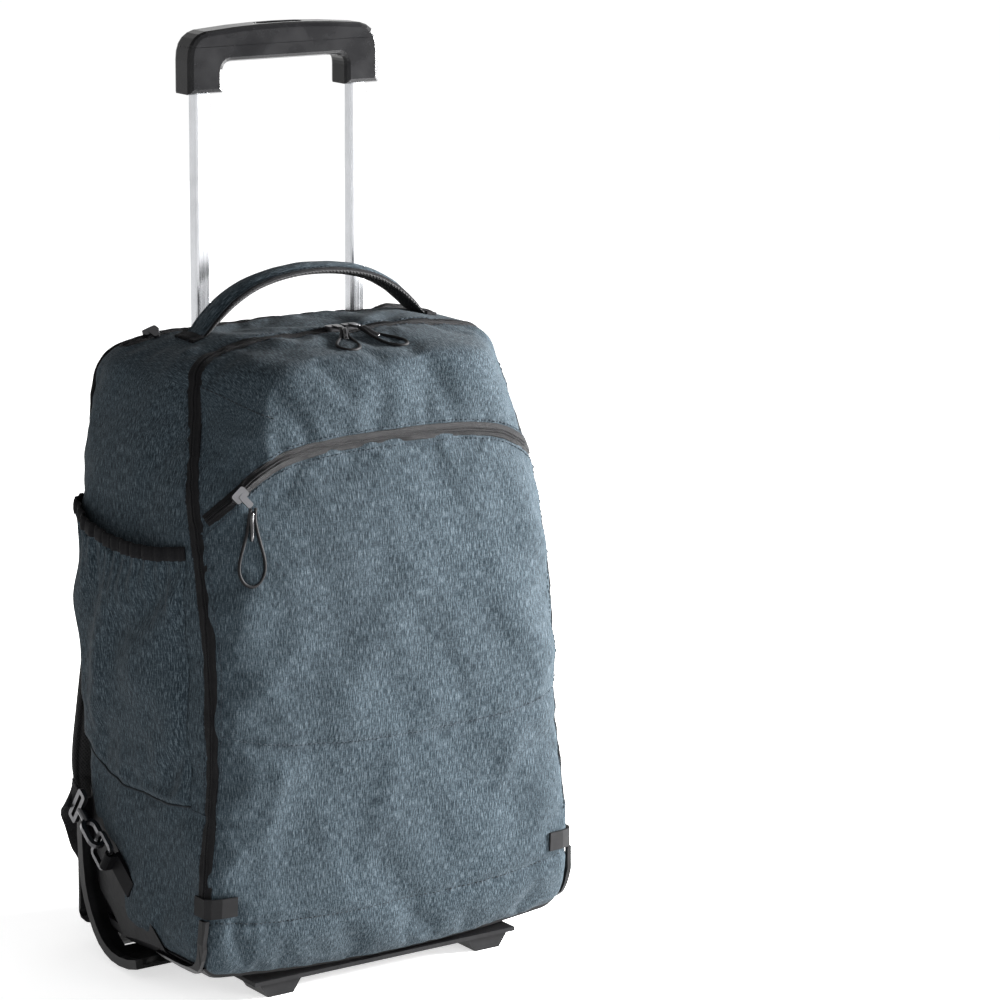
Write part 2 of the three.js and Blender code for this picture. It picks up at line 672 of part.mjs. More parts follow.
function makePanels() {
  const zipField = prismSolid(backZipOutline(SEAM_GAP), 'z', CROWN_FROM, 2 * FAR);
  const zipChain = prismSolid(backZipOutline(0), 'z', CROWN_FROM, 2 * FAR);
  const shell = sheet(-CLOTH, 0, box([-FAR, -FAR, -FAR], [FAR, FAR, 2 * FAR]));
  const front = shell.intersect(frontMask(MAIN_ZIP_WIDTH / 2, -SEAM_GAP / 2));
  const behindFront = frontMask(-MAIN_ZIP_WIDTH / 2, SEAM_GAP / 2);
  const rear = shell.subtract(behindFront).subtract(mainZipBand(MAIN_ZIP_WIDTH));
  const boardTop = BASE_LIFT + BASE_ROUND;
  const gusset = rear.subtract(backRegion(SEAM_GAP)).subtract(below(boardTop + SEAM_GAP))
    .subtract(zipField).subtract(wellCut);
  addSolid(bag, 'gusset', gusset, 'cloth');

  const padded = sheet(-BACK_PADDING, 0, backRegion(0));
  const backPanel = padded.intersect(above(LOWER_PANEL_TOP + SEAM_GAP)).subtract(zipField);
  addSolid(bag, 'back_panel', backPanel, 'cloth');
  const lowerPanel = sheet(-CLOTH, 0, backRegion(0)).intersect(below(LOWER_PANEL_TOP))
    .intersect(above(boardTop + SEAM_GAP)).subtract(wellCut);
  addSolid(bag, 'lower_back_panel', lowerPanel, 'vinyl');

  const pocketLine = [...POCKET_ZIP_LINE].reverse().map((row) => ({ ...row, side: -row.side }))
    .concat(POCKET_ZIP_LINE.slice(1));
  const pocketCurve = splineLine(
    pocketLine.map((row) => new THREE.Vector2(row.side * HALF_WIDTH, heightOf(row.up))),
    22,
  );
  const pocketBand = prismSolid(bandOutline(pocketCurve, POCKET_ZIP_WIDTH), 'y', -FAR, FAR);
  const underPocketLine = [
    ...pocketCurve,
    new THREE.Vector2(FAR, -FAR),
    new THREE.Vector2(-FAR, -FAR),
  ];
  const lowerFront = prismSolid(underPocketLine, 'y', -FAR, FAR);
  addSolid(bag, 'lid_panel', front.subtract(pocketBand).subtract(lowerFront), 'cloth');
  addSolid(bag, 'pocket_panel', front.subtract(pocketBand).intersect(lowerFront), 'cloth');

  const pocketChain = prismSolid(bandOutline(pocketCurve, POCKET_ZIP_WIDTH - 2 * SEAM_GAP), 'y', -FAR, FAR);
  const pocketZip = sheet(-CLOTH / 2, ZIP_PROUD, pocketChain).intersect(frontMask(MAIN_ZIP_WIDTH / 2 + SEAM_GAP, 0));
  addSolid(bag, 'pocket_zip', pocketZip, 'zip');
  const mainZip = sheet(-CLOTH / 2, ZIP_PROUD, mainZipBand(MAIN_ZIP_WIDTH - 2 * SEAM_GAP));
  addSolid(bag, 'main_zip', mainZip, 'zip');
  const backZip = sheet(-CLOTH / 2, ZIP_PROUD, zipChain.subtract(mouth));
  addSolid(bag, 'back_zip', backZip, 'zip');

  const board = sheet(-BOARD, 0, below(boardTop)).subtract(behindFront).subtract(wellCut);
  addSolid(bag, 'base_board', board.add(tubeSockets().intersect(bagSolid(-CLOTH - SEAM_GAP))), 'plastic');
}

// Sockets on the base board that take the feet of the outer tubes.
function tubeSockets() {
  const halfX = OUTER_TUBE_WIDTH / 2;
  const halfY = OUTER_TUBE_DEPTH / 2;
  return joined([-1, 1].map((side) => {
    const x = (side * TUBE_SPACING) / 2;
    const block = box(
      [x - halfX - SOCKET_WALL, TROLLEY_Y - halfY - SOCKET_WALL, BASE_LIFT + BOARD / 2],
      [x + halfX + SOCKET_WALL, TROLLEY_Y + halfY + SOCKET_WALL, OUTER_TUBE_BOTTOM + TUBE_SEAT],
    );
    const hole = box(
      [x - halfX - TUBE_CLEARANCE, TROLLEY_Y - halfY - TUBE_CLEARANCE, OUTER_TUBE_BOTTOM - TUBE_CLEARANCE],
      [x + halfX + TUBE_CLEARANCE, TROLLEY_Y + halfY + TUBE_CLEARANCE, FAR],
    );
    return block.subtract(hole);
  }));
}

// A spline through table rows of depth and height, both in millimetres.
function sideLine(rows, height, samples) {
  return splineLine(rows.map((row) => new THREE.Vector2(row.depth * HALF_DEPTH, height(row))), samples);
}

function sidePrism(outline, side) {
  return side < 0 ? prismSolid(outline, 'x', -FAR, -HALF_WIDTH / 2) : prismSolid(outline, 'x', HALF_WIDTH / 2, FAR);
}

function makeSidePieces(side, name) {
  const topLine = sideLine(SIDE_POCKET, (row) => heightOf(row.top), 8);
  const bottomLine = sideLine(SIDE_POCKET, (row) => heightOf(row.bottom), 8);
  const lowered = (amount) => topLine.map((point) => new THREE.Vector2(point.x, point.y - amount));
  const shareAcross = (y) => (y - topLine[topLine.length - 1].x) / (topLine[0].x - topLine[topLine.length - 1].x);
  const pocketTop = heightOf(SIDE_POCKET[2].top);
  const pocketBottom = heightOf(SIDE_POCKET[2].bottom);
  const bulge = (point) => {
    const across = THREE.MathUtils.clamp(shareAcross(point.y), 0, 1);
    const up = THREE.MathUtils.clamp((point.z - pocketBottom) / (pocketTop - pocketBottom), 0, 1);
    return POCKET_BULGE * Math.sin(Math.PI * across) ** 0.8 * smooth(up * 2.2) * (1 - 0.25 * up);
  };
  const inner = (point) => SEAM_GAP + bulge(point);
  const outer = (point) => SEAM_GAP + POCKET_WALL + bulge(point);
  const pocketMask = sidePrism([...lowered(BINDING_HEIGHT), ...bottomLine.slice().reverse()], side);
  addSolid(bag, `side_pocket_${name}`, sheet(inner, outer, pocketMask), 'cloth');

  const bindingInner = (point) => inner(point) + (POCKET_WALL - BINDING_WALL) / 2 + 0.4;
  const bindingOuter = (point) => inner(point) + (POCKET_WALL + BINDING_WALL) / 2 + 0.4;
  const bindingMask = sidePrism(
    [...topLine, ...lowered(BINDING_HEIGHT - SEAM_GAP).reverse()],
    side,
  );
  addSolid(bag, `pocket_binding_${name}`, sheet(bindingInner, bindingOuter, bindingMask), 'zip');

  const bandTop = sideLine(SIDE_BAND, (row) => heightOf(row.top), 8);
  const bandBottom = sideLine(SIDE_BAND, (row) => heightOf(row.bottom), 8);
  const bandMask = sidePrism([...bandTop, ...bandBottom.slice().reverse()], side)
    .intersect(above(BASE_LIFT - BASE_SAG + BASE_ROUND)).subtract(backRegion(SEAM_GAP)).subtract(wellCut);
  addSolid(bag, `side_band_${name}`, sheet(SEAM_GAP, SEAM_GAP + VINYL, bandMask), 'vinyl');

  const rimLine = sideLine(CORNER_RIM, (row) => heightOf(row.up), 10);
  const rimMask = sidePrism(bandOutline(rimLine, 7), side)
    .intersect(side < 0 ? box([-FAR, -FAR, -FAR], [-0.93 * HALF_WIDTH, FAR, FAR])
      : box([0.93 * HALF_WIDTH, -FAR, -FAR], [FAR, FAR, FAR]));
  const rimInner = 2 * SEAM_GAP + VINYL;
  addSolid(bag, `corner_rim_${name}`, sheet(rimInner, rimInner + 3, rimMask), 'plastic');

  const tabInner = ZIP_PROUD + SEAM_GAP;
  const tabX = [0.86 * HALF_WIDTH, FAR];
  const tabTop = zipFoot.y + 0.8 * ZIP_END_TAB;
  const tab = sheet(tabInner, tabInner + 2, box(
    [side < 0 ? -tabX[1] : tabX[0], -FAR, tabTop - ZIP_END_TAB],
    [side < 0 ? -tabX[0] : tabX[1], zipFoot.x + 9, tabTop],
  ));
  addSolid(bag, `zip_end_tab_${name}`, tab, 'rubber');
}

function makeStrapBand() {
  const mask = box(
    [-BACK_PANEL_HALF + 3, HALF_DEPTH - 2, STRAP_BAND_TOP - STRAP_BAND_HEIGHT],
    [BACK_PANEL_HALF - 3, FAR, STRAP_BAND_TOP],
  );
  addSolid(bag, 'strap_band', sheet(SEAM_GAP, SEAM_GAP + VINYL, mask), 'vinyl');
}

// Strips and padded straps

// An oval section of a strap: width along one direction, thickness along the other.
function padRing(centre, across, away, width, thickness) {
  const points = roundedOutline(width / 2, thickness / 2, thickness * 0.48, 2);
  return points.map((point) => centre.clone().addScaledVector(across, point.x).addScaledVector(away, point.y));
}

// A strip along a curve. acrossList gives the direction of its width at each end and in between.
function strip(points, acrossList, width, thickness, steps) {
  const curve = new THREE.CatmullRomCurve3(points, false, 'centripetal');
  const rings = [];
  for (let k = 0; k <= steps; k += 1) {
    const share = k / steps;
    const tangent = curve.getTangentAt(share);
    const place = share * (acrossList.length - 1);
    const low = Math.min(Math.floor(place), acrossList.length - 2);
    const across = acrossList[low].clone().lerp(acrossList[low + 1], place - low);
    across.addScaledVector(tangent, -across.dot(tangent)).normalize();
    const away = new THREE.Vector3().crossVectors(tangent, across);
    const corner = (u, v) => curve.getPointAt(share).addScaledVector(across, u).addScaledVector(away, v);
    rings.push([
      corner(width / 2, thickness / 2),
      corner(-width / 2, thickness / 2),
      corner(-width / 2, -thickness / 2),
      corner(width / 2, -thickness / 2),
    ]);
  }
  return loft(rings);
}

function strapPoint(side, row) {
  const splay = side < 0 ? STRAP_SPLAY_LEFT : STRAP_SPLAY_RIGHT;
  const rootY = HALF_DEPTH + 2 * SEAM_GAP + VINYL + (STRAP_THICKNESS * STRAP_SHAPE[0].pad) / 2;
  return new THREE.Vector3(
    side * (STRAP_SPREAD + row.splay * splay),
    rootY + row.stand * STRAP_STAND_OFF,
    STRAP_BAND_TOP - STRAP_BAND_HEIGHT / 2 - row.drop * STRAP_DROP,
  );
}

function strapTip(side) {
  const last = STRAP_SHAPE.length - 1;
  const tip = strapPoint(side, STRAP_SHAPE[last]);
  const along = tip.clone().sub(strapPoint(side, STRAP_SHAPE[last - 2])).normalize();
  return { tip, along };
}

function makeStrap(side, name) {
  const across = new THREE.Vector3(1, 0, 0);
  const rings = STRAP_SHAPE.map((row, k) => {
    const centre = strapPoint(side, row);
    const before = strapPoint(side, STRAP_SHAPE[Math.max(k - 1, 0)]);
    const after = strapPoint(side, STRAP_SHAPE[Math.min(k + 1, STRAP_SHAPE.length - 1)]);
    const along = k === 0 ? new THREE.Vector3(0, 0, -1) : after.sub(before).normalize();
    const wide = across.clone().addScaledVector(along, -across.dot(along)).normalize();
    const away = new THREE.Vector3().crossVectors(along, wide);
    return padRing(centre, wide, away, row.width * STRAP_WIDTH, row.pad * STRAP_THICKNESS);
  });
  addMesh(bag, `shoulder_strap_${name}`, loft(rings), 'cloth');
}

// The buckle at the strap's tip, a frame with two slots for the webbing.
function makeLadderLock(side, name) {
  const { tip, along } = strapTip(side);
  const halfX = WEBBING_WIDTH / 2 + LOCK_BAR;
  const slot = (LOCK_LENGTH - 3 * LOCK_BAR) / 2;
  const slotAt = (y) => roundedOutline(WEBBING_WIDTH / 2 + 0.5, slot / 2, 1, 1, [0, y]);
  const offset = (slot + LOCK_BAR) / 2;
  const shape = new THREE.Shape(roundedOutline(halfX, LOCK_LENGTH / 2, 3, 2));
  shape.holes = [new THREE.Path(slotAt(offset)), new THREE.Path(slotAt(-offset))];
  const geometry = new THREE.ExtrudeGeometry(shape, { depth: LOCK_THICKNESS, bevelEnabled: false });
  geometry.translate(0, 0, -LOCK_THICKNESS / 2);
  const wide = new THREE.Vector3(1, 0, 0).addScaledVector(along, -along.x).normalize();
  const up = along.clone().negate();
  const away = new THREE.Vector3().crossVectors(wide, up);
  const centre = tip.clone().addScaledVector(along, LOCK_LENGTH / 2 + SEAM_GAP + 0.2);
  geometry.applyMatrix4(new THREE.Matrix4().makeBasis(wide, up, away).setPosition(centre));
  addMesh(bag, `ladder_lock_${name}`, geometry, 'plastic');
}

// Rings and hooks

const bagMesh = new THREE.Mesh(bagSurface, new THREE.MeshBasicMaterial({ side: THREE.DoubleSide }));

// Where a straight line meets the bag's surface, with the surface's direction there.
function surfaceHit(origin, direction) {
  const hit = new THREE.Raycaster(origin, direction).intersectObject(bagMesh)[0];
  return { point: hit.point, normal: hit.face.normal };
}

function crownPoint(x, y) {
  return surfaceHit(new THREE.Vector3(x, y, 2 * FAR), new THREE.Vector3(0, 0, -1)).point;
}

function sideSurfaceX(side, y, z) {
  return surfaceHit(new THREE.Vector3(side * FAR, y, z), new THREE.Vector3(-side, 0, 0)).point.x;
}

// A flat loop of square wire lying across a local frame's x and y.
function wireLoop(width, height, wire, radius) {
  const outer = roundedOutline(width / 2, height / 2, radius, 3);
  const inner = roundedOutline(width / 2 - wire, height / 2 - wire, Math.max(radius - wire, 0.8), 3);
  return prismSolid(outer, 'z', -wire / 2, wire / 2, [inner]);
}

function cylinder(radius, length, segments = 10) {
  return solidOf(new THREE.CylinderGeometry(radius, radius, length, segments));
}

function rotated(solid, x, y, z) {
  return solid.rotate([x, y, z]);
}

// One side's ring stands on the side band. turn is the angle, seen from +X, from +Y to the way its hook lies.
const HOOK_PLACES = {
  left: { depth: 0.50, up: 0.145, turn: 36 },
  right: { depth: 0.44, up: 0.120, turn: 241 },
};

// Local frame of a ring: x across, y towards the hook, z out of the bag's side.
function ringFrame(side, name) {
  const place = HOOK_PLACES[name];
  const turn = THREE.MathUtils.degToRad(place.turn);
  const y = place.depth * HALF_DEPTH;
  const z = heightOf(place.up);
  const out = new THREE.Vector3(side, 0, 0);
  const along = new THREE.Vector3(0, Math.cos(turn), Math.sin(turn));
  const across = new THREE.Vector3().crossVectors(along, out);
  const lift = 3 * SEAM_GAP + VINYL + HOOK_WIDTH / 2;
  const reach = [-1, -0.5, 0, 0.5, 1].map((share) => {
    const spot = along.clone().multiplyScalar(share * (RING_HEIGHT / 2 + RING_TAB_LENGTH));
    return side * sideSurfaceX(side, y + spot.y, z + spot.z);
  });
  const centre = new THREE.Vector3(side * (Math.max(...reach) + lift), y, z);
  const matrix = new THREE.Matrix4().makeBasis(across, along, out).setPosition(centre);
  return { matrix, along, across, lift };
}

function makeHook(side, name) {
  const frame = ringFrame(side, name);
  const ring = wireLoop(RING_WIDTH, RING_HEIGHT, RING_WIRE, RING_CORNER);
  addMesh(bag, `d_ring_${name}`, geometryOf(ring).applyMatrix4(frame.matrix), 'metal');

  const barY = -RING_HEIGHT / 2 + RING_WIRE / 2;
  const hole = RING_WIRE * Math.SQRT1_2 + SEAM_GAP;
  const tabWidth = RING_WIDTH - 2 * RING_CORNER - 2 * SEAM_GAP;
  const eye = rotated(cylinder(hole + 1.4, tabWidth, 14), 0, 0, 90).translate([0, barY, 0]);
  const bore = rotated(cylinder(hole, FAR, 14), 0, 0, 90).translate([0, barY, 0]);
  const plateLow = SEAM_GAP + 2 * SEAM_GAP + VINYL - frame.lift;
  const plate = box([-tabWidth / 2, barY - RING_TAB_LENGTH, plateLow], [tabWidth / 2, barY, plateLow + 2.6]);
  const riser = box([-tabWidth / 2, barY - hole - 1.4, plateLow], [tabWidth / 2, barY - 1, 0]);
  const tab = joined([eye, plate, riser]).subtract(bore);
  addMesh(bag, `d_ring_tab_${name}`, geometryOf(tab).applyMatrix4(frame.matrix), 'webbing');

  const hookStart = RING_HEIGHT / 2 - RING_WIRE - 3 * SEAM_GAP - HOOK_WIRE;
  const hookLoop = rotated(wireLoop(HOOK_WIDTH, HOOK_LENGTH, HOOK_WIRE, HOOK_WIDTH / 2), 0, 90, 0)
    .translate([0, hookStart + HOOK_LENGTH / 2, 0]);
  const barrelStart = hookStart + HOOK_LENGTH - HOOK_WIRE / 2;
  const barrel = cylinder(3.4, SWIVEL_LENGTH + HOOK_WIRE / 2)
    .translate([0, barrelStart + SWIVEL_LENGTH / 2, 0]);
  const eyeHeight = 3 * HOOK_WIRE;
  const eyeWidth = WEBBING_WIDTH + 2 * HOOK_WIRE + 1;
  const eyeMiddle = barrelStart + SWIVEL_LENGTH + eyeHeight / 2 - 1;
  const webbingEye = wireLoop(eyeWidth, eyeHeight, HOOK_WIRE, 3).translate([0, eyeMiddle, 0]);
  const hook = joined([hookLoop, barrel, webbingEye]);
  addMesh(bag, `snap_hook_${name}`, geometryOf(hook).applyMatrix4(frame.matrix), 'metal');
  const exit = new THREE.Vector3(0, eyeMiddle + eyeHeight / 2 + SEAM_GAP + 0.1, 0);
  return { exit: exit.applyMatrix4(frame.matrix), across: frame.across, along: frame.along };
}

// Routes of the webbing between the hook and the strap's buckle. side, depth and height: shares of HALF_WIDTH,
// HALF_DEPTH and HOUSING_TOP. edge is 1 where the webbing stands on its edge.
const WEBBING_ROUTES = {
  left: [
    { side: 1.020, depth: 1.22, height: 0.950, edge: 0.6 },
    { side: 0.930, depth: 1.40, height: 0.800, edge: 0.3 },
    { side: 0.850, depth: 1.54, height: 0.600, edge: 0.1 },
    { side: 0.780, depth: 1.66, height: 0.480, edge: 0 },
    { side: 0.700, depth: 1.76, height: 0.300, edge: 0.2 },
    { side: 0.610, depth: 1.83, height: 0.150, edge: 0.7 },
    { side: 0.480, depth: 1.83, height: 0.105, edge: 1 },
    { side: 0.340, depth: 1.72, height: 0.105, edge: 1 },
  ],
  right: [
    { side: 1.080, depth: 0.08, height: 0.230, edge: 0.5 },
    { side: 1.230, depth: 0.16, height: 0.150, edge: 0.8 },
    { side: 1.340, depth: 0.42, height: 0.110, edge: 1 },
    { side: 1.340, depth: 0.82, height: 0.105, edge: 1 },
    { side: 1.250, depth: 1.20, height: 0.105, edge: 1 },
    { side: 1.110, depth: 1.50, height: 0.110, edge: 1 },
    { side: 0.990, depth: 1.68, height: 0.170, edge: 0.6 },
    { side: 0.970, depth: 1.72, height: 0.330, edge: 0.2 },
  ],
};

function makeWebbing(side, name, hook) {
  const { tip, along } = strapTip(side);
  const flat = new THREE.Vector3(1, 0, 0);
  const upright = new THREE.Vector3(0, 0, 1);
  const rows = WEBBING_ROUTES[name];
  const lead = hook.exit.clone().addScaledVector(hook.along, 2 * HOOK_WIRE);
  const points = [hook.exit, lead, ...rows.map((row) => new THREE.Vector3(
    side * row.side * HALF_WIDTH,
    row.depth * HALF_DEPTH,
    row.height * HOUSING_TOP,
  ))];
  const across = [hook.across.clone(), hook.across.clone(), ...rows.map((row) => flat.clone().lerp(upright, row.edge))];
  if (hook.across.dot(across[2]) < 0) {
    across[0].negate();
    across[1].negate();
  }
  if (side > 0) {
    points.push(tip.clone().addScaledVector(along, LOCK_LENGTH + 2 * LOCK_BAR));
    across.push(flat.clone().addScaledVector(along, -along.x).normalize());
  }
  addMesh(bag, `strap_webbing_${name}`, strip(points, across, WEBBING_WIDTH, WEBBING_THICKNESS, 34), 'webbing');
}

// Carry handle

// Half of the carry handle's arch, from its sewn end to the crown. reach: share of half CARRY_SPAN. rise: share of
// the height between the end and the crown. pad: share of CARRY_THICKNESS. width: share of CARRY_WIDTH.
const CARRY_ARCH = [
  { reach: 1.00, rise: 0.00, pad: 0.36, width: 0.86 },
  { reach: 0.90, rise: 0.06, pad: 0.42, width: 0.94 },
  { reach: 0.80, rise: 0.30, pad: 0.80, width: 1.00 },
  { reach: 0.66, rise: 0.58, pad: 1.00, width: 1.00 },
  { reach: 0.48, rise: 0.81, pad: 1.00, width: 1.00 },
  { reach: 0.26, rise: 0.95, pad: 1.00, width: 1.00 },
  { reach: 0.00, rise: 1.00, pad: 1.00, width: 1.00 },
];

function archRows(from) {
  const half = CARRY_ARCH.slice(from).map((row) => ({ ...row, reach: -row.reach }));
  return half.concat(CARRY_ARCH.slice(from, -1).reverse());
}

function archPoint(row) {
  const endX = CARRY_SPAN / 2;
  const x = row.reach * endX;
  const end = crownPoint(endX, CARRY_Y).z + 3 * SEAM_GAP + (CARRY_THICKNESS * CARRY_ARCH[0].pad) / 2;
  const crown = BAG_TOP + CARRY_RISE - CARRY_THICKNESS / 2;
  const seat = crownPoint(x, CARRY_Y).z + 3 * SEAM_GAP + (CARRY_THICKNESS * row.pad) / 2;
  return new THREE.Vector3(x, CARRY_Y, Math.max(THREE.MathUtils.lerp(end, crown, row.rise), seat));
}

function archLoft(rows, size) {
  const centres = rows.map(archPoint);
  const across = new THREE.Vector3(0, 1, 0);
  return loft(rows.map((row, k) => {
    const before = centres[Math.max(k - 1, 0)];
    const after = centres[Math.min(k + 1, rows.length - 1)];
    const away = new THREE.Vector3().crossVectors(after.clone().sub(before).normalize(), across);
    const { drop, width, thickness } = size(row);
    return padRing(centres[k].clone().addScaledVector(away, -drop), across, away, width, thickness);
  }));
}

function makeCarryHandle() {
  const pad = archLoft(archRows(0), (row) => ({
    drop: 0,
    width: row.width * CARRY_WIDTH,
    thickness: row.pad * CARRY_THICKNESS,
  }));
  addMesh(bag, 'carry_handle', pad, 'cloth');
  const lining = archLoft(archRows(2), (row) => ({
    drop: (row.pad * CARRY_THICKNESS) / 2 + SEAM_GAP + UNDERSIDE_THICKNESS / 2,
    width: 0.8 * CARRY_WIDTH,
    thickness: UNDERSIDE_THICKNESS,
  }));
  addMesh(bag, 'carry_handle_underside', lining, 'zip');
}

// Zip sliders and their cord pulls

function sliderSolid() {
  const body = prismSolid(
    roundedOutline(SLIDER_LENGTH / 2, SLIDER_WIDTH / 2, 2, 2),
    'z',
    0,
    SLIDER_HEIGHT,
  );
  const tongue = prismSolid(
    roundedOutline(2.6, SLIDER_WIDTH * 0.7, 1.5, 2, [0, -SLIDER_WIDTH * 0.7]),
    'z',
    SLIDER_HEIGHT - 1.4,
    SLIDER_HEIGHT + 0.8,
  );
  return body.add(tongue);
}

// Puts a slider on the surface: along follows the chain and away leaves the cloth.
function placeSlider(name, point, along, away, lift) {
  const across = new THREE.Vector3().crossVectors(away, along).normalize();
  const straight = new THREE.Vector3().crossVectors(across, away).normalize();
  const seat = point.clone().addScaledVector(away, ZIP_PROUD + SEAM_GAP + lift);
  const matrix = new THREE.Matrix4().makeBasis(straight, across, away.clone().normalize()).setPosition(seat);
  addMesh(bag, name, geometryOf(sliderSolid()).applyMatrix4(matrix), 'metal');
  const tongueEnd = -SLIDER_WIDTH * 1.4 - PULL_CORD / 2 - 2 * SEAM_GAP;
  return new THREE.Vector3(0, tongueEnd, SLIDER_HEIGHT - 0.2).applyMatrix4(matrix);
}

// A teardrop loop of cord. Its points are shares of the pull's length: along it and to its side.
const PULL_LOOP = [
  [0.00, -0.040], [0.14, -0.045], [0.30, -0.075], [0.48, -0.130], [0.66, -0.185], [0.82, -0.190], [0.95, -0.115],
  [1.00, 0.000], [0.95, 0.115], [0.82, 0.190], [0.66, 0.185], [0.48, 0.130], [0.30, 0.075], [0.14, 0.045],
  [0.00, 0.040],
];

function makePull(name, start, length, place) {
  const points = PULL_LOOP.map(([along, aside]) => place(start, along * length, aside * length));
  const path = new THREE.CatmullRomCurve3(points, false, 'centripetal');
  const section = [];
  for (let k = 0; k < 8; k += 1) {
    const angle = (2 * Math.PI * k) / 8;
    section.push(new THREE.Vector2(Math.cos(angle), Math.sin(angle)).multiplyScalar(PULL_CORD / 2));
  }
  const geometry = new THREE.ExtrudeGeometry(new THREE.Shape(section), { steps: 16, extrudePath: path });
  addSolid(bag, name, solidOf(geometry), 'rubber');
}

function makeMainSliders() {
  const chainY = mainZipLine.find((point) => point.y > BAG_TOP).x;
  for (const [side, name, fan] of [[-1, 'left', -0.45], [1, 'right', 0.35]]) {
    const x = side * SLIDER_SPACING * 0.6;
    const start = crownPoint(x, chainY);
    const end = placeSlider(
      `main_slider_${name}`,
      start,
      new THREE.Vector3(1, 0, 0),
      new THREE.Vector3(0, 0, 1),
      SLIDER_SEAT,
    );
    makePull(`main_pull_${name}`, end, MAIN_PULL_LENGTH, (from, along, aside) => {
      const px = from.x + along * Math.sin(fan) + aside * Math.cos(fan);
      const py = from.y - along * Math.cos(fan) + aside * Math.sin(fan);
      const rest = crownPoint(px, py).z + PULL_CORD / 2 + 0.6;
      const leave = smooth(along / (0.35 * MAIN_PULL_LENGTH));
      return new THREE.Vector3(px, py, THREE.MathUtils.lerp(Math.max(from.z, rest), rest, leave));
    });
  }
}

function frontHit(x, z) {
  return surfaceHit(new THREE.Vector3(x, -FAR, z), new THREE.Vector3(0, 1, 0));
}

function makePocketSlider() {
  const row = POCKET_ZIP_LINE[4];
  const inner = POCKET_ZIP_LINE[3];
  const x = -row.side * HALF_WIDTH * 0.985;
  const z = heightOf(row.up) + 1;
  const hit = frontHit(x, z);
  const along = frontHit(-inner.side * HALF_WIDTH, heightOf(inner.up)).point.sub(hit.point).normalize();
  const end = placeSlider('pocket_slider', hit.point, along, hit.normal.clone(), SLIDER_SEAT);
  makePull('pocket_pull', end, POCKET_PULL_LENGTH, (from, down, aside) => {
    const px = from.x + aside * 0.9 - down * 0.06;
    const pz = from.z - down;
    const rest = frontHit(px, pz).point.y - PULL_CORD / 2 - 2.2;
    return new THREE.Vector3(px, Math.min(rest, THREE.MathUtils.lerp(from.y, rest, smooth(down / 12))), pz);
  });
}

function makeBackSlider() {
  const x = -(MOUTH_HALF + BACK_ZIP_REACH) / 2;
  const hit = surfaceHit(new THREE.Vector3(x, TROLLEY_Y, 2 * FAR), new THREE.Vector3(0, 0, -1));
  placeSlider('back_slider', hit.point, new THREE.Vector3(1, 0, 0), hit.normal, BACK_SLIDER_SEAT);
}

// Wheels and the hard base

function makeHousing(side, name) {
  const middle = (side * WHEEL_TRACK) / 2;
  const span = [HOUSING_INNER, HOUSING_OUTER].map((x) => side * x).sort((a, b) => a - b);
  const plateFront = HALF_DEPTH + SEAM_GAP;
  const plateBack = plateFront + 1.2 * HOUSING_WALL;
  const plateBottom = WHEEL_RADIUS - AXLE_HEAD;
  const plateOutline = roundedOutline(
    (span[1] - span[0]) / 2,
    (HOUSING_TOP - plateBottom) / 2,
    12,
    3,
    [(span[0] + span[1]) / 2, (HOUSING_TOP + plateBottom) / 2],
  );
  const plate = prismSolid(plateOutline, 'y', plateFront, plateBack);
  const wall = wellHalf + HOUSING_WALL;
  const well = box(
    [middle - wall, wellFront - HOUSING_WALL, plateBottom],
    [middle + wall, plateBack, wellTop + HOUSING_WALL],
  );
  const cheek = roundedOutline(AXLE_HEAD * 1.2, AXLE_HEAD * 1.1, AXLE_HEAD, 4, [WHEEL_Y, WHEEL_RADIUS]);
  const cheeks = prismSolid(cheek, 'x', middle - wall, middle + wall);
  const inside = box([middle - wellHalf, wellFront, -FAR], [middle + wellHalf, FAR, wellTop]);
  const axleHole = rotated(cylinder(AXLE_DIAMETER / 2 + RUNNING_CLEARANCE, FAR, 20), 0, 0, 90)
    .translate([middle, WHEEL_Y, WHEEL_RADIUS]);
  const line = sideLine(HOUSING_RIM, (row) => row.height * HOUSING_TOP, 12);
  const outward = bandOutline(line, RIM_THICKNESS);
  const count = line.length;
  const outerEdge = outward.slice(count).reverse();
  const innerEdge = outward.slice(0, count);
  const outside = outerEdge[0].x > innerEdge[0].x ? outerEdge : innerEdge;
  const panEdge = outside.map((point, k) => point.clone().lerp(line[k], HOUSING_WALL / (RIM_THICKNESS / 2)));
  const pan = prismSolid([...outside, ...panEdge.reverse()], 'x', span[0], span[1]);
  const rimSpan = [HOUSING_OUTER - RIM_WIDTH, HOUSING_OUTER].map((x) => side * x).sort((a, b) => a - b);
  const rim = prismSolid(outward, 'x', rimSpan[0], rimSpan[1]);
  const headRoom = AXLE_HEAD_THICKNESS + 2 * RUNNING_CLEARANCE;
  const headHoles = joined([-1, 1].map((end) => rotated(
    cylinder(AXLE_HEAD / 2 + RUNNING_CLEARANCE, headRoom, 20),
    0,
    0,
    90,
  ).translate([middle + end * (wall + headRoom / 2), WHEEL_Y, WHEEL_RADIUS])));
  const housing = joined([plate, well, cheeks, pan, rim]).subtract(inside).subtract(axleHole)
    .subtract(headHoles);
  addSolid(bag, `wheel_housing_${name}`, housing, 'plastic');
}

function turnedAlongX(profile, segments, x, y, z) {
  const points = profile.map(([radius, along]) => new THREE.Vector2(radius, along));
  const geometry = new THREE.LatheGeometry(points, segments);
  geometry.rotateZ(-Math.PI / 2);
  geometry.translate(x, y, z);
  return solidOf(geometry);
}

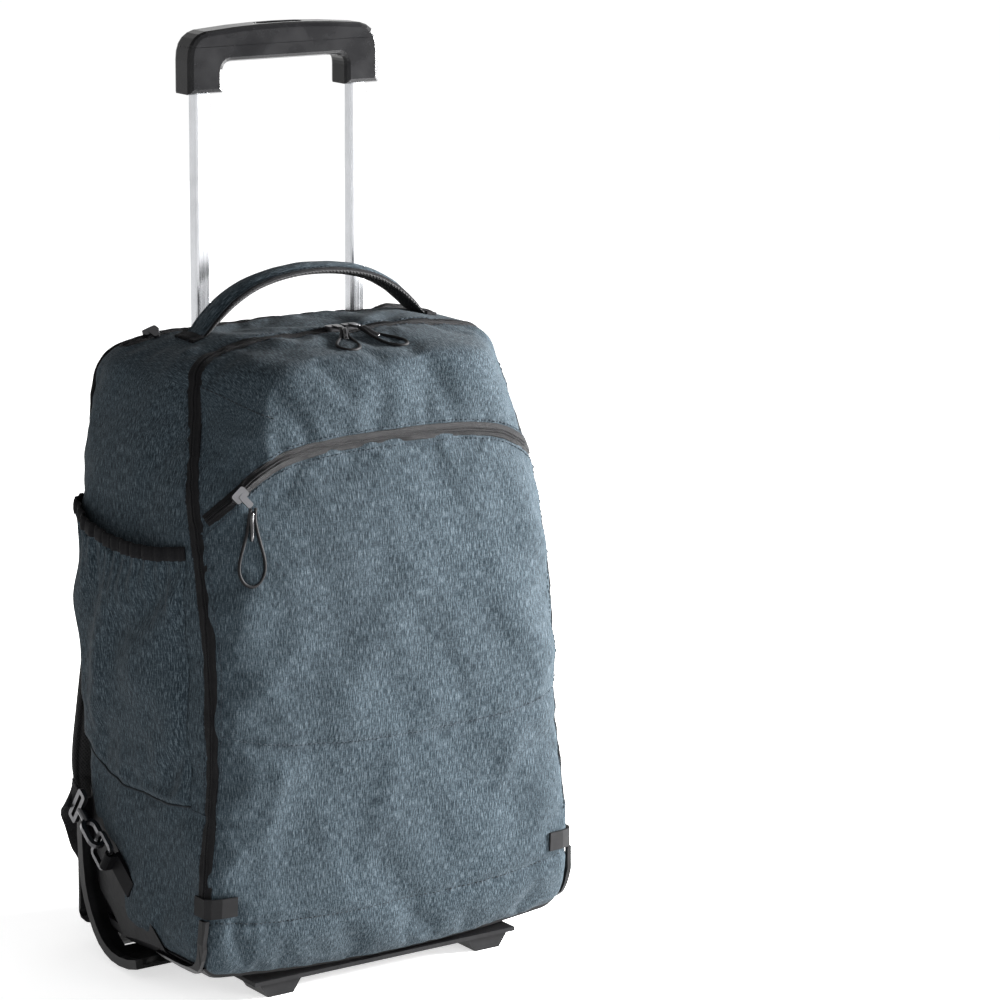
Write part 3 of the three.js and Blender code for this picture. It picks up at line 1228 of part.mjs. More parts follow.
function makeWheel(side, name) {
  const middle = (side * WHEEL_TRACK) / 2;
  const wheel = new THREE.Group();
  wheel.position.set(middle, WHEEL_Y, WHEEL_RADIUS);
  backpack.add(wheel);

  const headOut = wellHalf + HOUSING_WALL + RUNNING_CLEARANCE + AXLE_HEAD_THICKNESS;
  const headIn = headOut - AXLE_HEAD_THICKNESS;
  const shaft = AXLE_DIAMETER / 2;
  const axle = turnedAlongX([
    [0, -headOut], [AXLE_HEAD / 2, -headOut], [AXLE_HEAD / 2, -headIn], [shaft, -headIn],
    [shaft, headIn], [AXLE_HEAD / 2, headIn], [AXLE_HEAD / 2, headOut], [0, headOut],
  ], 20, middle, WHEEL_Y, WHEEL_RADIUS);
  addSolid(bag, `wheel_axle_${name}`, axle, 'steel');

  const tyreInner = WHEEL_RADIUS - TYRE_THICKNESS;
  const hubOuter = tyreInner - SEAM_GAP;
  const bore = shaft + RUNNING_CLEARANCE;
  const half = HUB_WIDTH / 2;
  const hub = turnedAlongX([
    [bore, -half], [0.4 * hubOuter, -half], [0.46 * hubOuter, -0.6 * half], [0.8 * hubOuter, -0.6 * half],
    [0.86 * hubOuter, -0.9 * half], [hubOuter, -0.9 * half], [hubOuter, 0.9 * half], [0.86 * hubOuter, 0.9 * half],
    [0.8 * hubOuter, 0.6 * half], [0.46 * hubOuter, 0.6 * half], [0.4 * hubOuter, half], [bore, half],
    [bore, -half],
  ], 16, 0, 0, 0);
  addSolid(wheel, `wheel_hub_${name}`, hub, 'gloss');
  const tyreHalf = TYRE_WIDTH / 2;
  const shoulder = TYRE_THICKNESS * 0.4;
  const tyre = turnedAlongX([
    [tyreInner, -tyreHalf + 1], [WHEEL_RADIUS - shoulder, -tyreHalf], [WHEEL_RADIUS - 0.6, -tyreHalf + shoulder],
    [WHEEL_RADIUS, -tyreHalf / 2], [WHEEL_RADIUS, tyreHalf / 2], [WHEEL_RADIUS - 0.6, tyreHalf - shoulder],
    [WHEEL_RADIUS - shoulder, tyreHalf], [tyreInner, tyreHalf - 1], [tyreInner, -tyreHalf + 1],
  ], 24, 0, 0, 0);
  addSolid(wheel, `wheel_tyre_${name}`, tyre, 'rubber');
}

function makeSkid() {
  const top = BASE_LIFT - BASE_SAG - SEAM_GAP;
  const bottom = top - SKID_THICKNESS;
  const backEdge = FOOT_Y + SKID_DEPTH / 2;
  const frontEdge = FOOT_Y - SKID_DEPTH / 2;
  const bar = box([-SKID_LENGTH / 2, frontEdge, bottom], [SKID_LENGTH / 2, backEdge, top]);
  const feet = [-1, 1].map((side) => {
    const x = side * FOOT_SPREAD;
    const outline = [
      [x - FOOT_TOP_LENGTH / 2, top - 1],
      [x - FOOT_TIP_LENGTH / 2, 0],
      [x + FOOT_TIP_LENGTH / 2, 0],
      [x + FOOT_TOP_LENGTH / 2, top - 1],
    ].map(([u, v]) => new THREE.Vector2(u, v));
    return prismSolid(outline, 'y', frontEdge + 3, backEdge - 3);
  });
  addSolid(bag, 'front_skid', joined([bar, ...feet]), 'plastic');
}

function makeGripPad() {
  const half = GRIP_PAD_WIDTH / 2;
  const low = BASE_LIFT + BASE_ROUND + 2;
  const mask = box([-half, 0, low], [half, FAR, low + GRIP_PAD_HEIGHT]);
  const pitch = GRIP_PAD_WIDTH / GRIP_PAD_RIBS;
  const full = sheet(SEAM_GAP, SEAM_GAP + GRIP_PAD_THICKNESS, mask);
  const floor = bagSolid(SEAM_GAP + GRIP_PAD_THICKNESS / 2);
  const grooves = joined(Array.from({ length: GRIP_PAD_RIBS - 1 }, (_, k) => {
    const x = -half + pitch * (k + 1);
    return box([x - 0.2 * pitch, 0, low - 1], [x + 0.2 * pitch, FAR, low + GRIP_PAD_HEIGHT + 1]);
  }));
  addSolid(bag, 'base_grip', full.subtract(grooves.subtract(floor)), 'plastic');
}

// Pull handle

function tube(width, depth, x, bottom, top) {
  const outline = roundedOutline(width / 2, depth / 2, 2.2, 2, [x, TROLLEY_Y]);
  const hole = roundedOutline(width / 2 - TUBE_WALL, depth / 2 - TUBE_WALL, 1.2, 2, [x, TROLLEY_Y]);
  return prismSolid(outline, 'z', bottom, top, [hole]);
}

function makeTubes() {
  for (const [side, name] of [[-1, 'left'], [1, 'right']]) {
    const x = (side * TUBE_SPACING) / 2;
    const outer = tube(OUTER_TUBE_WIDTH, OUTER_TUBE_DEPTH, x, OUTER_TUBE_BOTTOM, OUTER_TUBE_TOP);
    addSolid(bag, `outer_tube_${name}`, outer, 'aluminium');
    const inner = tube(INNER_TUBE_WIDTH, INNER_TUBE_DEPTH, x, INNER_TUBE_BOTTOM, GRIP_LEG_BOTTOM + TUBE_SEAT);
    addSolid(handle, `inner_tube_${name}`, inner, 'aluminium');
  }
  const back = HALF_DEPTH - BACK_PADDING - 2 * SEAM_GAP;
  const front = TROLLEY_Y - OUTER_TUBE_DEPTH / 2 - SOCKET_WALL;
  const halfX = TUBE_SPACING / 2 + OUTER_TUBE_WIDTH / 2 + SOCKET_WALL;
  const outline = roundedOutline(halfX, (back - front) / 2, 4, 2, [0, (back + front) / 2]);
  const holes = [-1, 1].map((side) => roundedOutline(
    OUTER_TUBE_WIDTH / 2 + TUBE_CLEARANCE,
    OUTER_TUBE_DEPTH / 2 + TUBE_CLEARANCE,
    2.2,
    2,
    [(side * TUBE_SPACING) / 2, TROLLEY_Y],
  ));
  const brace = prismSolid(outline, 'z', OUTER_TUBE_TOP - BRACE_HEIGHT, OUTER_TUBE_TOP, holes);
  addSolid(bag, 'tube_brace', brace, 'plastic');
}

// The grip's outline seen from the front: a bar with two legs.
function gripOutline() {
  const shape = new THREE.Shape();
  const legIn = GRIP_HALF - GRIP_LEG_WIDTH;
  const shoulder = GRIP_TOP - GRIP_CROWN;
  const under = GRIP_TOP - GRIP_BAR_HEIGHT;
  const fillet = 9;
  shape.moveTo(-GRIP_HALF, GRIP_LEG_BOTTOM);
  shape.lineTo(-GRIP_HALF, shoulder - GRIP_CORNER);
  shape.quadraticCurveTo(-GRIP_HALF, shoulder, -GRIP_HALF + GRIP_CORNER, shoulder);
  shape.quadraticCurveTo(0, GRIP_TOP + GRIP_CROWN, GRIP_HALF - GRIP_CORNER, shoulder);
  shape.quadraticCurveTo(GRIP_HALF, shoulder, GRIP_HALF, shoulder - GRIP_CORNER);
  shape.lineTo(GRIP_HALF, GRIP_LEG_BOTTOM);
  shape.lineTo(legIn, GRIP_LEG_BOTTOM);
  shape.lineTo(legIn, under - fillet);
  shape.quadraticCurveTo(legIn, under, legIn - fillet, under);
  shape.lineTo(fillet - legIn, under);
  shape.quadraticCurveTo(-legIn, under, -legIn, under - fillet);
  shape.lineTo(-legIn, GRIP_LEG_BOTTOM);
  return shape;
}

function makeGrip() {
  const geometry = new THREE.ExtrudeGeometry(gripOutline(), {
    depth: GRIP_DEPTH - 2 * GRIP_EDGE,
    bevelThickness: GRIP_EDGE,
    bevelSize: GRIP_EDGE,
    bevelOffset: -GRIP_EDGE,
    bevelSegments: 2,
    curveSegments: 6,
  });
  geometry.rotateX(Math.PI / 2);
  geometry.translate(0, TROLLEY_Y + GRIP_DEPTH / 2 - GRIP_EDGE, 0);
  const sockets = joined([-1, 1].map((side) => box(
    [
      (side * TUBE_SPACING) / 2 - INNER_TUBE_WIDTH / 2 - TUBE_CLEARANCE,
      TROLLEY_Y - INNER_TUBE_DEPTH / 2 - TUBE_CLEARANCE,
      GRIP_LEG_BOTTOM - 1,
    ],
    [
      (side * TUBE_SPACING) / 2 + INNER_TUBE_WIDTH / 2 + TUBE_CLEARANCE,
      TROLLEY_Y + INNER_TUBE_DEPTH / 2 + TUBE_CLEARANCE,
      GRIP_LEG_BOTTOM + TUBE_SEAT + TUBE_CLEARANCE,
    ],
  )));
  const buttonTop = GRIP_TOP - BUTTON_SINK;
  const buttonBottom = buttonTop - BUTTON_HEIGHT;
  const buttonOutline = (grow) => roundedOutline(
    BUTTON_LENGTH / 2 + grow,
    BUTTON_WIDTH / 2 + grow,
    BUTTON_WIDTH / 2 + grow - 0.1,
    4,
    [0, TROLLEY_Y],
  );
  const recess = prismSolid(
    buttonOutline(RUNNING_CLEARANCE),
    'z',
    buttonBottom - BUTTON_TRAVEL - RUNNING_CLEARANCE,
    GRIP_TOP + FAR,
  );
  const grip = solidOf(geometry).subtract(sockets).subtract(recess);
  addSolid(handle, 'grip_body', grip.intersect(below(GRIP_PARTING - SEAM_GAP / 2)), 'plastic');
  addSolid(handle, 'grip_cap', grip.intersect(above(GRIP_PARTING + SEAM_GAP / 2).add(
    box([-FAR, -FAR, 2 * FAR - 1], [FAR, FAR, 3 * FAR]),
  )), 'plastic');
  addSolid(handle, 'push_button', prismSolid(buttonOutline(0), 'z', buttonBottom, buttonTop), 'gloss');
}

makePanels();
makeStrapBand();
makeCarryHandle();
for (const [side, name] of [[-1, 'left'], [1, 'right']]) {
  makeSidePieces(side, name);
  makeStrap(side, name);
  makeLadderLock(side, name);
  makeWebbing(side, name, makeHook(side, name));
  makeHousing(side, name);
  makeWheel(side, name);
}
makeMainSliders();
makePocketSlider();
makeBackSlider();
makeSkid();
makeGripPad();
makeTubes();
makeGrip();

// The origin is the middle of the footprint, straps included, on the floor.
const bounds = new THREE.Box3().setFromObject(backpack);
const middle = bounds.getCenter(new THREE.Vector3());
backpack.position.set(-middle.x, -middle.y, -bounds.min.z);

export default backpack;
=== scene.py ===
import math

import bmesh
import bpy
import numpy as np
from mathutils import Matrix, Vector, noise
from mathutils.bvhtree import BVHTree
from mathutils.kdtree import KDTree


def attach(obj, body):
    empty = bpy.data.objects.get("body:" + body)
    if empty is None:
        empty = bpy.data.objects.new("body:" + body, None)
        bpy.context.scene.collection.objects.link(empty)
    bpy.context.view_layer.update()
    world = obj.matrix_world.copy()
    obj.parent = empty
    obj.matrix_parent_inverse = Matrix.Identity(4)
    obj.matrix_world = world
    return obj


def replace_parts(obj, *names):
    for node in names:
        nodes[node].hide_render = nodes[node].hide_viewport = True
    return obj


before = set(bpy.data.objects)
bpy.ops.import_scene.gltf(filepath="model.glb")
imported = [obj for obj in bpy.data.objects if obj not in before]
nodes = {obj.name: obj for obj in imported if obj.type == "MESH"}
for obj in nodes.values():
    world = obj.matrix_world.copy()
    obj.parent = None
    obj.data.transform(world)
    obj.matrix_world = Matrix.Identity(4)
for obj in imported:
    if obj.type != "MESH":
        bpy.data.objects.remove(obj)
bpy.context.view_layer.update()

# Lengths in the tables are millimetres in the frame of the part.
MM = 0.001
X0 = -23.17
DOWN = Vector((0, 0, -1))
UP = Vector((0, 0, 1))
REARWARD = Vector((0, 1, 0))
SIDES = ((-1, "left"), (1, "right"))


# Camera

AZIMUTH, ELEVATION, ROLL = (math.radians(a) for a in (-35.0, 12.6, 0.4))
TARGET = Vector((0.143832, -0.040134, 0.3643))
DISTANCE = 3.3417
LENS = 142.16
SENSOR = 36


def make_camera():
    back = Vector((
        math.sin(AZIMUTH) * math.cos(ELEVATION),
        -math.cos(AZIMUTH) * math.cos(ELEVATION),
        math.sin(ELEVATION),
    ))
    right = (-back).cross(UP).normalized()
    up = right.cross(-back)
    turned_right = right * math.cos(ROLL) + up * math.sin(ROLL)
    turned_up = up * math.cos(ROLL) - right * math.sin(ROLL)
    matrix = Matrix((turned_right, turned_up, back)).transposed().to_4x4()
    matrix.translation = TARGET + back * DISTANCE
    data = bpy.data.cameras.new("photo_camera")
    data.lens = LENS
    data.sensor_width = SENSOR
    camera = bpy.data.objects.new("photo_camera", data)
    camera.matrix_world = matrix
    bpy.context.scene.collection.objects.link(camera)
    bpy.context.scene.camera = camera


make_camera()


# Curves and meshes

def spline(points, per=8):
    """A smooth line through the points, with some steps between each two."""
    points = [Vector(p) for p in points]
    ends = [points[0] * 2 - points[1], *points, points[-1] * 2 - points[-2]]
    line = []
    for k in range(len(points) - 1):
        a, b, c, d = ends[k:k + 4]
        for step in range(per):
            t = step / per
            line.append(0.5 * (
                2 * b + (c - a) * t + (2 * a - 5 * b + 4 * c - d) * t * t
                + (3 * b - a - 3 * c + d) * t ** 3
            ))
    line.append(points[-1])
    return line


def lengths(line):
    run = [0.0]
    for a, b in zip(line, line[1:]):
        run.append(run[-1] + (b - a).length)
    return run


def even(line, pitch):
    """The same line with its points a pitch apart."""
    run = lengths(line)
    count = max(2, round(run[-1] / pitch))
    out = []
    at = 0
    for k in range(count + 1):
        want = run[-1] * k / count
        while at < len(line) - 2 and run[at + 1] < want:
            at += 1
        span = max(run[at + 1] - run[at], 1e-9)
        out.append(line[at].lerp(line[at + 1], min(1.0, (want - run[at]) / span)))
    return out


def mix(a, b, t):
    return a + (b - a) * t


def smooth(t):
    t = min(1.0, max(0.0, t))
    return t * t * (3 - 2 * t)


def fold(p, scale, seed=0.0):
    """Smooth noise of a place in millimetres."""
    return noise.noise(Vector((p[0] / scale + seed, p[1] / scale, p[2] / scale - seed)))


def heading(line, k):
    """The way that the line runs at its point k."""
    return (line[min(k + 1, len(line) - 1)] - line[max(k - 1, 0)]).normalized()


def square(way, along):
    """The unit vector nearest to a way that is square to along."""
    return (way - along * way.dot(along)).normalized()


def piece(name, verts, faces, uvs, slot, mats, kinds=None, level=0):
    """A piece on the bag from points in millimetres. uvs holds one pair for each corner of each face."""
    mesh = bpy.data.meshes.new(name)
    mesh.from_pydata([tuple(MM * c for c in v) for v in verts], [], faces)
    layer = mesh.uv_layers.new(name="UVMap")
    layer.data.foreach_set("uv", np.array([c for pair in uvs for c in pair], np.float32))
    for mat in mats:
        mesh.materials.append(mat)
    if kinds is not None:
        mesh.polygons.foreach_set("material_index", kinds)
    mesh.polygons.foreach_set("use_smooth", [True] * len(mesh.polygons))
    mesh.validate()
    obj = bpy.data.objects.new(name, mesh)
    bpy.context.scene.collection.objects.link(obj)
    if level:
        subdivision = obj.modifiers.new("Subdivision", "SUBSURF")
        subdivision.levels = subdivision.render_levels = level
    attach(obj, "bag")
    return obj


def rings_mesh(rings, kind=None):
    """Faces, corner uvs and material numbers of a closed mesh through rings of equal length."""
    size = len(rings[0])
    verts = [tuple(p) for ring in rings for p in ring]
    along = lengths([sum(ring, Vector()) / size for ring in rings])
    around = lengths([*rings[len(rings) // 2], rings[len(rings) // 2][0]])
    faces, uvs, kinds = [], [], []
    for row in range(len(rings) - 1):
        for k in range(size):
            a, b = row * size + k, row * size + (k + 1) % size
            faces.append((a, b, b + size, a + size))
            u, w = around[k], around[k + 1]
            uvs += [(u, along[row]), (w, along[row]), (w, along[row + 1]), (u, along[row + 1])]
            kinds.append(kind(k) if kind else 0)
    for row, order in ((0, -1), (len(rings) - 1, 1)):
        faces.append(tuple(row * size + k for k in range(size))[::order])
        uvs += [(around[k], along[row]) for k in range(size)][::order]
        kinds.append(kind(0) if kind else 0)
    return verts, faces, uvs, kinds


def outward(faces, verts, uvs):
    """Turns all faces round where the closed body is inside out."""
    total = 0.0
    for face in faces:
        a = Vector(verts[face[0]])
        for k in range(1, len(face) - 1):
            total += a.dot(Vector(verts[face[k]]).cross(Vector(verts[face[k + 1]])))
    if total >= 0:
        return faces, uvs
    turned, start = [], 0
    for face in faces:
        turned += uvs[start:start + len(face)][::-1]
        start += len(face)
    return [face[::-1] for face in faces], turned


def loft(name, rings, slot, mats, kind=None, level=0):
    verts, faces, uvs, kinds = rings_mesh(rings, kind)
    return piece(name, verts, *outward(faces, verts, uvs), slot, mats, kinds, level)


def loft_part(rings):
    verts, faces, uvs, _ = rings_mesh(rings)
    return verts, *outward(faces, verts, uvs)


def merged_piece(name, parts, slot, mat):
    """One piece from several (verts, faces, uvs)."""
    verts, faces, uvs = [], [], []
    for part in parts:
        base = len(verts)
        verts += part[0]
        faces += [tuple(base + i for i in face) for face in part[1]]
        uvs += part[2]
    return piece(name, verts, faces, uvs, slot, [mat])


def tube_part(line, radii, sides, squeeze=1.0):
    """A round rod along the line. radii is one number, or one for each point."""
    rings = []
    for k, p in enumerate(line):
        along = heading(line, k)
        across = square(across, along) if k else along.orthogonal().normalized()
        high = along.cross(across)
        r = radii[k] if isinstance(radii, tuple) else radii
        ring = []
        for s in range(sides):
            angle = 2 * math.pi * s / sides
            ring.append(p + across * (r * math.cos(angle)) + high * (r * squeeze * math.sin(angle)))
        rings.append(ring)
    return loft_part(rings)


# A stitch's half length, its shoulders' place along it, and the heights of its ends, shoulders and middle.
CLOTH_STITCH = (1.45, 0.725, -0.35, 0.05, 0.35)
STRAP_STITCH = (1.5, 0.8, -0.5, 0.1, 0.35)
HANDLE_STITCH = (1.4, 0.7, -0.5, 0.1, 0.3)


def stitch_part(spot, normal, way, shape=CLOTH_STITCH, radius=0.45):
    half, near, low, knee, crown = shape
    rows = ((-half, low), (-near, knee), (0, crown), (near, knee), (half, low))
    return tube_part([spot + way * e + normal * h for e, h in rows], radius, 5)


# Materials

class Nodes:
    """Builds a material's nodes in few words."""

    def __init__(self, name):
        self.mat = bpy.data.materials.new(name)
        self.mat.use_nodes = True
        self.tree = self.mat.node_tree
        self.shader = self.tree.nodes["Principled BSDF"]

    def feed(self, node, sets):
        for key, value in sets.items():
            if isinstance(value, bpy.types.NodeSocket):
                self.tree.links.new(value, node.inputs[key])
            else:
                node.inputs[key].default_value = value
        return node

    def add(self, kind, sets, **props):
        node = self.tree.nodes.new(kind)
        for key, value in props.items():
            setattr(node, key, value)
        return self.feed(node, sets)

    def math(self, operation, a, b=0.0, c=0.0):
        return self.add("ShaderNodeMath", {0: a, 1: b, 2: c}, operation=operation).outputs[0]

    def place(self, kind, scale):
        coords = self.add("ShaderNodeTexCoord", {}).outputs[kind]
        return self.add("ShaderNodeMapping", {"Vector": coords, "Scale": scale}).outputs[0]

    def noise(self, vector, detail=3.0, rough=0.5):
        sets = {"Vector": vector, "Scale": 1.0, "Detail": detail, "Roughness": rough}
        return self.add("ShaderNodeTexNoise", sets).outputs["Fac"]

    def wave(self, vector, direction, scale=1.0, distortion=0.0):
        sets = {"Vector": vector, "Scale": scale, "Distortion": distortion}
        return self.add("ShaderNodeTexWave", sets, bands_direction=direction).outputs["Fac"]

    def ramp(self, value, *stops):
        node = self.add("ShaderNodeValToRGB", {"Fac": value})
        ramp = node.color_ramp
        while len(ramp.elements) < len(stops):
            ramp.elements.new(0.5)
        for element, (at, colour) in zip(ramp.elements, stops):
            element.position = at
            element.color = (*colour, 1)
        return node.outputs["Color"]

    def between(self, value, low, high):
        sets = {"Value": value, "To Min": low, "To Max": high}
        return self.add("ShaderNodeMapRange", sets).outputs["Result"]

    def bump(self, height, strength, distance, **under):
        sets = {"Height": height, "Strength": strength, "Distance": distance, **under}
        return self.add("ShaderNodeBump", sets).outputs["Normal"]

    def done(self, colour, rough, sets=None, **constants):
        self.feed(self.shader, {"Base Color": colour, "Roughness": rough, **(sets or {})})
        for key, value in constants.items():
            self.shader.inputs[key.replace("_", " ")].default_value = value
        return self.mat


def cloth_material(name, dark, middle, light):
    """Melange cloth: long fine slubs along v, a plain weave and faint unevenness. Its uvs are millimetres."""
    n = Nodes(name)
    slub = n.noise(n.place("UV", (1.25, 0.13, 1)), detail=2.0, rough=0.6)
    fleck = n.noise(n.place("UV", (2.6, 0.45, 1)), detail=2.0, rough=0.6)
    weft = n.noise(n.place("UV", (0.20, 1.3, 1)), detail=1.0)
    cloud = n.noise(n.place("Object", (9, 9, 9)), detail=2.0)
    both = n.math("MULTIPLY_ADD", slub, 0.56, n.math("MULTIPLY", fleck, 0.34))
    both = n.math("MULTIPLY_ADD", weft, 0.10, both)
    colour = n.ramp(both, (0.38, dark), (0.50, middle), (0.63, light))
    shade = n.between(cloud, 0.86, 1.12)
    tone = n.add("ShaderNodeCombineColor", {"Red": shade, "Green": shade, "Blue": shade}).outputs[0]
    # Sockets of a colour mix: 0 is the share, 6 and 7 the two colours, and output 2 the result.
    shaded = n.add("ShaderNodeMix", {0: 1.0, 6: colour, 7: tone}, data_type="RGBA", blend_type="MULTIPLY").outputs[2]
    warp = n.wave(n.place("UV", (0.46, 0.46, 0.46)), "X", distortion=0.3)
    weave = n.wave(n.place("UV", (0.46, 0.46, 0.46)), "Y", distortion=0.3)
    height = n.math("ADD", n.math("MULTIPLY", warp, weave), n.math("MULTIPLY", slub, 1.2))
    sets = {"Normal": n.bump(height, 0.35, 0.0006)}
    rough = n.between(fleck, 0.82, 0.98)
    return n.done(shaded, rough, sets, Sheen_Weight=0.02, Sheen_Roughness=0.5, Specular_IOR_Level=0.08)


def plastic_material(name, colour, rough, grain=1.0, spec=0.12):
    """Moulded plastic with a fine spark-eroded grain and slightly paler worn patches."""
    n = Nodes(name)
    grit = n.noise(n.place("Object", (1900, 1900, 1900)), detail=2.0)
    patch = n.noise(n.place("Object", (38, 38, 38)), detail=3.0)
    tone = n.ramp(patch, (0.35, colour), (0.75, tuple(1.35 * c + 0.004 for c in colour)))
    sets = {"Normal": n.bump(grit, 0.22 * grain, 0.0003)}
    return n.done(tone, n.between(patch, rough - 0.05, rough + 0.08), sets, Specular_IOR_Level=spec)


def ribbed_material(name, colour, light, rough, across, along, depth):
    """Woven tape, chain or webbing: ribs across and along the uvs in millimetres. Its colour is paler on the rib
    crests and darker in the grooves, a painted highlight and painted shade over random fuzz.
    """
    n = Nodes(name)
    ribs = n.wave(n.place("UV", (1, along, 1)), "Y", scale=0.314, distortion=0.4)
    lines = n.wave(n.place("UV", (across, 1, 1)), "X", scale=0.314, distortion=0.2)
    fuzz = n.noise(n.place("UV", (1.3, 1.3, 1.3)), detail=3.0)
    height = n.math("ADD", ribs, n.math("MULTIPLY", lines, 0.6))
    # painted highlight and painted shade: the tone follows the rib height, paler on the crests and darker in the
    # grooves; the fuzz is random
    tone = n.ramp(n.math("MULTIPLY", n.math("ADD", height, fuzz), 0.38), (0.2, colour), (0.85, light))
    sets = {"Normal": n.bump(height, 0.6, depth)}
    return n.done(tone, n.between(fuzz, rough - 0.06, rough + 0.08), sets, Specular_IOR_Level=0.08)


def coated_material(name, colour, light):
    """Black coated cloth: a fine plain weave under a slight shine, with broad soft creases. The weave's raised
    crossings are paler in colour, a painted highlight over random grain.
    """
    n = Nodes(name)
    weave = n.math(
        "MULTIPLY",
        n.wave(n.place("UV", (0.4, 0.4, 0.4)), "X", distortion=0.2),
        n.wave(n.place("UV", (0.4, 0.4, 0.4)), "Y", distortion=0.2),
    )
    crease = n.noise(n.place("Object", (34, 34, 34)), detail=4.0, rough=0.6)
    grain = n.noise(n.place("UV", (1.6, 1.6, 1.6)), detail=3.0)
    # painted highlight: the tone is paler on the raised weave crossings; the grain is random
    tone = n.ramp(n.math("MULTIPLY_ADD", weave, 0.4, n.math("MULTIPLY", grain, 0.6)), (0.2, colour), (0.8, light))
    sets = {"Normal": n.bump(weave, 0.3, 0.0004, Normal=n.bump(crease, 0.25, 0.003))}
    return n.done(tone, n.between(crease, 0.42, 0.62), sets, Specular_IOR_Level=0.12)


def mesh_material(name):
    """Black diamond netting. Its holes are painted near black as shade, with paler strands between them."""
    n = Nodes(name)
    coords = n.place("UV", (1, 1, 1))
    turned = n.add("ShaderNodeVectorRotate", {"Vector": coords, "Angle": math.radians(45)}).outputs[0]
    cell = n.add("ShaderNodeTexVoronoi", {"Vector": turned, "Scale": 0.42, "Randomness": 0.12}).outputs["Distance"]
    # painted shade: the holes, low in the bump, are near black; the strands between them are paler
    tone = n.ramp(cell, (0.12, (0.001, 0.001, 0.0012)), (0.55, (0.014, 0.014, 0.015)))
    sets = {"Normal": n.bump(cell, 0.8, 0.0012)}
    return n.done(tone, n.between(cell, 0.65, 0.9), sets, Specular_IOR_Level=0.3)


def metal_material(name, colour, rough, stretch=(300, 300, 300), strength=0.1):
    n = Nodes(name)
    brush = n.noise(n.place("Object", stretch), detail=3.0)
    wear = n.noise(n.place("Object", (60, 60, 60)), detail=4.0)
    tone = n.ramp(wear, (0.3, tuple(0.85 * c for c in colour)), (0.7, colour))
    sets = {"Normal": n.bump(brush, strength, 0.0002)}
    return n.done(tone, n.between(brush, rough - 0.06, rough + 0.08), sets, Metallic=1.0)


CLOTH = cloth_material("melange_cloth", (0.0028, 0.0052, 0.0076), (0.0150, 0.0228, 0.0290), (0.0620, 0.0800, 0.0925))
# the second colour of the coated cloth and the band is the painted highlight on the weave crossings
COATED = coated_material("coated_cloth", (0.003, 0.003, 0.0035), (0.009, 0.0095, 0.011))
BAND = coated_material("band_cloth", (0.0035, 0.0035, 0.004), (0.010, 0.0105, 0.012))
# the second colour of each ribbed material is its painted highlight on the rib crests
ZIP = ribbed_material("zip_chain", (0.0012, 0.0012, 0.0015), (0.009, 0.009, 0.010), 0.55, 2.0, 1.6, 0.0006)
TAPE = ribbed_material("woven_trim", (0.0015, 0.0015, 0.002), (0.008, 0.008, 0.009), 0.75, 1.2, 1.2, 0.0004)
WEBBING = ribbed_material("webbing", (0.0015, 0.0015, 0.002), (0.012, 0.012, 0.0135), 0.7, 0.8, 1.5, 0.0007)
NETTING = mesh_material("netting")
PLASTIC = plastic_material("black_plastic", (0.0035, 0.0035, 0.004), 0.42)
RIM = plastic_material("rim_plastic", (0.0045, 0.0045, 0.005), 0.34)
GRIP = plastic_material("grip_plastic", (0.0030, 0.0030, 0.0035), 0.20, 0.5, 0.16)
GLOSS = plastic_material("gloss_plastic", (0.004, 0.004, 0.005), 0.14, 0.1, 0.6)
RUBBER = plastic_material("rubber", (0.004, 0.004, 0.0045), 0.6, 1.5, 0.1)
TYRE = plastic_material("tyre_rubber", (0.005, 0.005, 0.0055), 0.58, 2.0, 0.3)
GUNMETAL = metal_material("gunmetal", (0.10, 0.10, 0.105), 0.30)
STEEL = metal_material("steel", (0.62, 0.63, 0.65), 0.24)
ALUMINIUM = metal_material("satin_aluminium", (0.56, 0.57, 0.59), 0.25, (900, 900, 9), 0.3)
THREAD = plastic_material("thread", (0.006, 0.008, 0.010), 0.8, 1.0, 0.1)
BLUE_THREAD = plastic_material("blue_thread", (0.014, 0.019, 0.024), 0.85, 1.0, 0.1)


# Cord pulls: points of each loop, from its slider round and back

PULLS = {
    "main_pull_left": [
        (-32.7, -66.5, 532.7), (-35.7, -72.3, 531.2), (-40.3, -78.5, 528.3), (-46.3, -85, 527.2),
        (-52.3, -91.5, 526.3), (-55.8, -98.1, 525.2), (-55.3, -105.2, 524.2), (-51.4, -109.6, 523.5),
        (-45.5, -109.9, 523.5), (-39.7, -105.9, 524.1), (-36.6, -99, 525.1), (-35.3, -90.3, 526.5),
        (-33.9, -81.5, 528), (-31.9, -74.2, 531.1), (-29.3, -68.1, 532.7),
    ],
    "main_pull_right": [
        (-17.1, -68, 532.7), (-15.1, -74.2, 531.1), (-13.8, -81.8, 528), (-13.4, -90.6, 526.4),
        (-12.9, -99.4, 525.1), (-10.5, -106.6, 524), (-5.1, -111.1, 523.3), (0.7, -111.5, 523.3),
        (5, -107.4, 523.8), (6.2, -100.4, 524.9), (3.4, -93.5, 525.9), (-1.9, -86.4, 527),
        (-7.2, -79.3, 528.3), (-11.1, -72.8, 531.1), (-13.6, -66.7, 532.7),
    ],
    "pocket_pull": [
        (-161.7, -137.3, 412.9), (-162.5, -135.8, 404.2), (-164.7, -136.7, 394.3), (-168.5, -137.3, 383.1),
        (-172.2, -137.7, 371.9), (-173.1, -138.6, 362), (-169.4, -140.1, 354), (-163.1, -141.8, 350.9),
        (-156.5, -142.1, 354), (-151.9, -141.8, 362), (-151.6, -140.9, 371.9), (-154, -139.7, 383.1),
        (-156.4, -138.3, 394.3), (-157.4, -136.8, 404.2), (-157.2, -137.3, 412.9),
    ],
}


CORD_RADIUS = 1.3
SLEEVE_RADII = (2.3, 2.9, 3.0, 2.9, 2.8, 2.7, 2.6, 2.2)


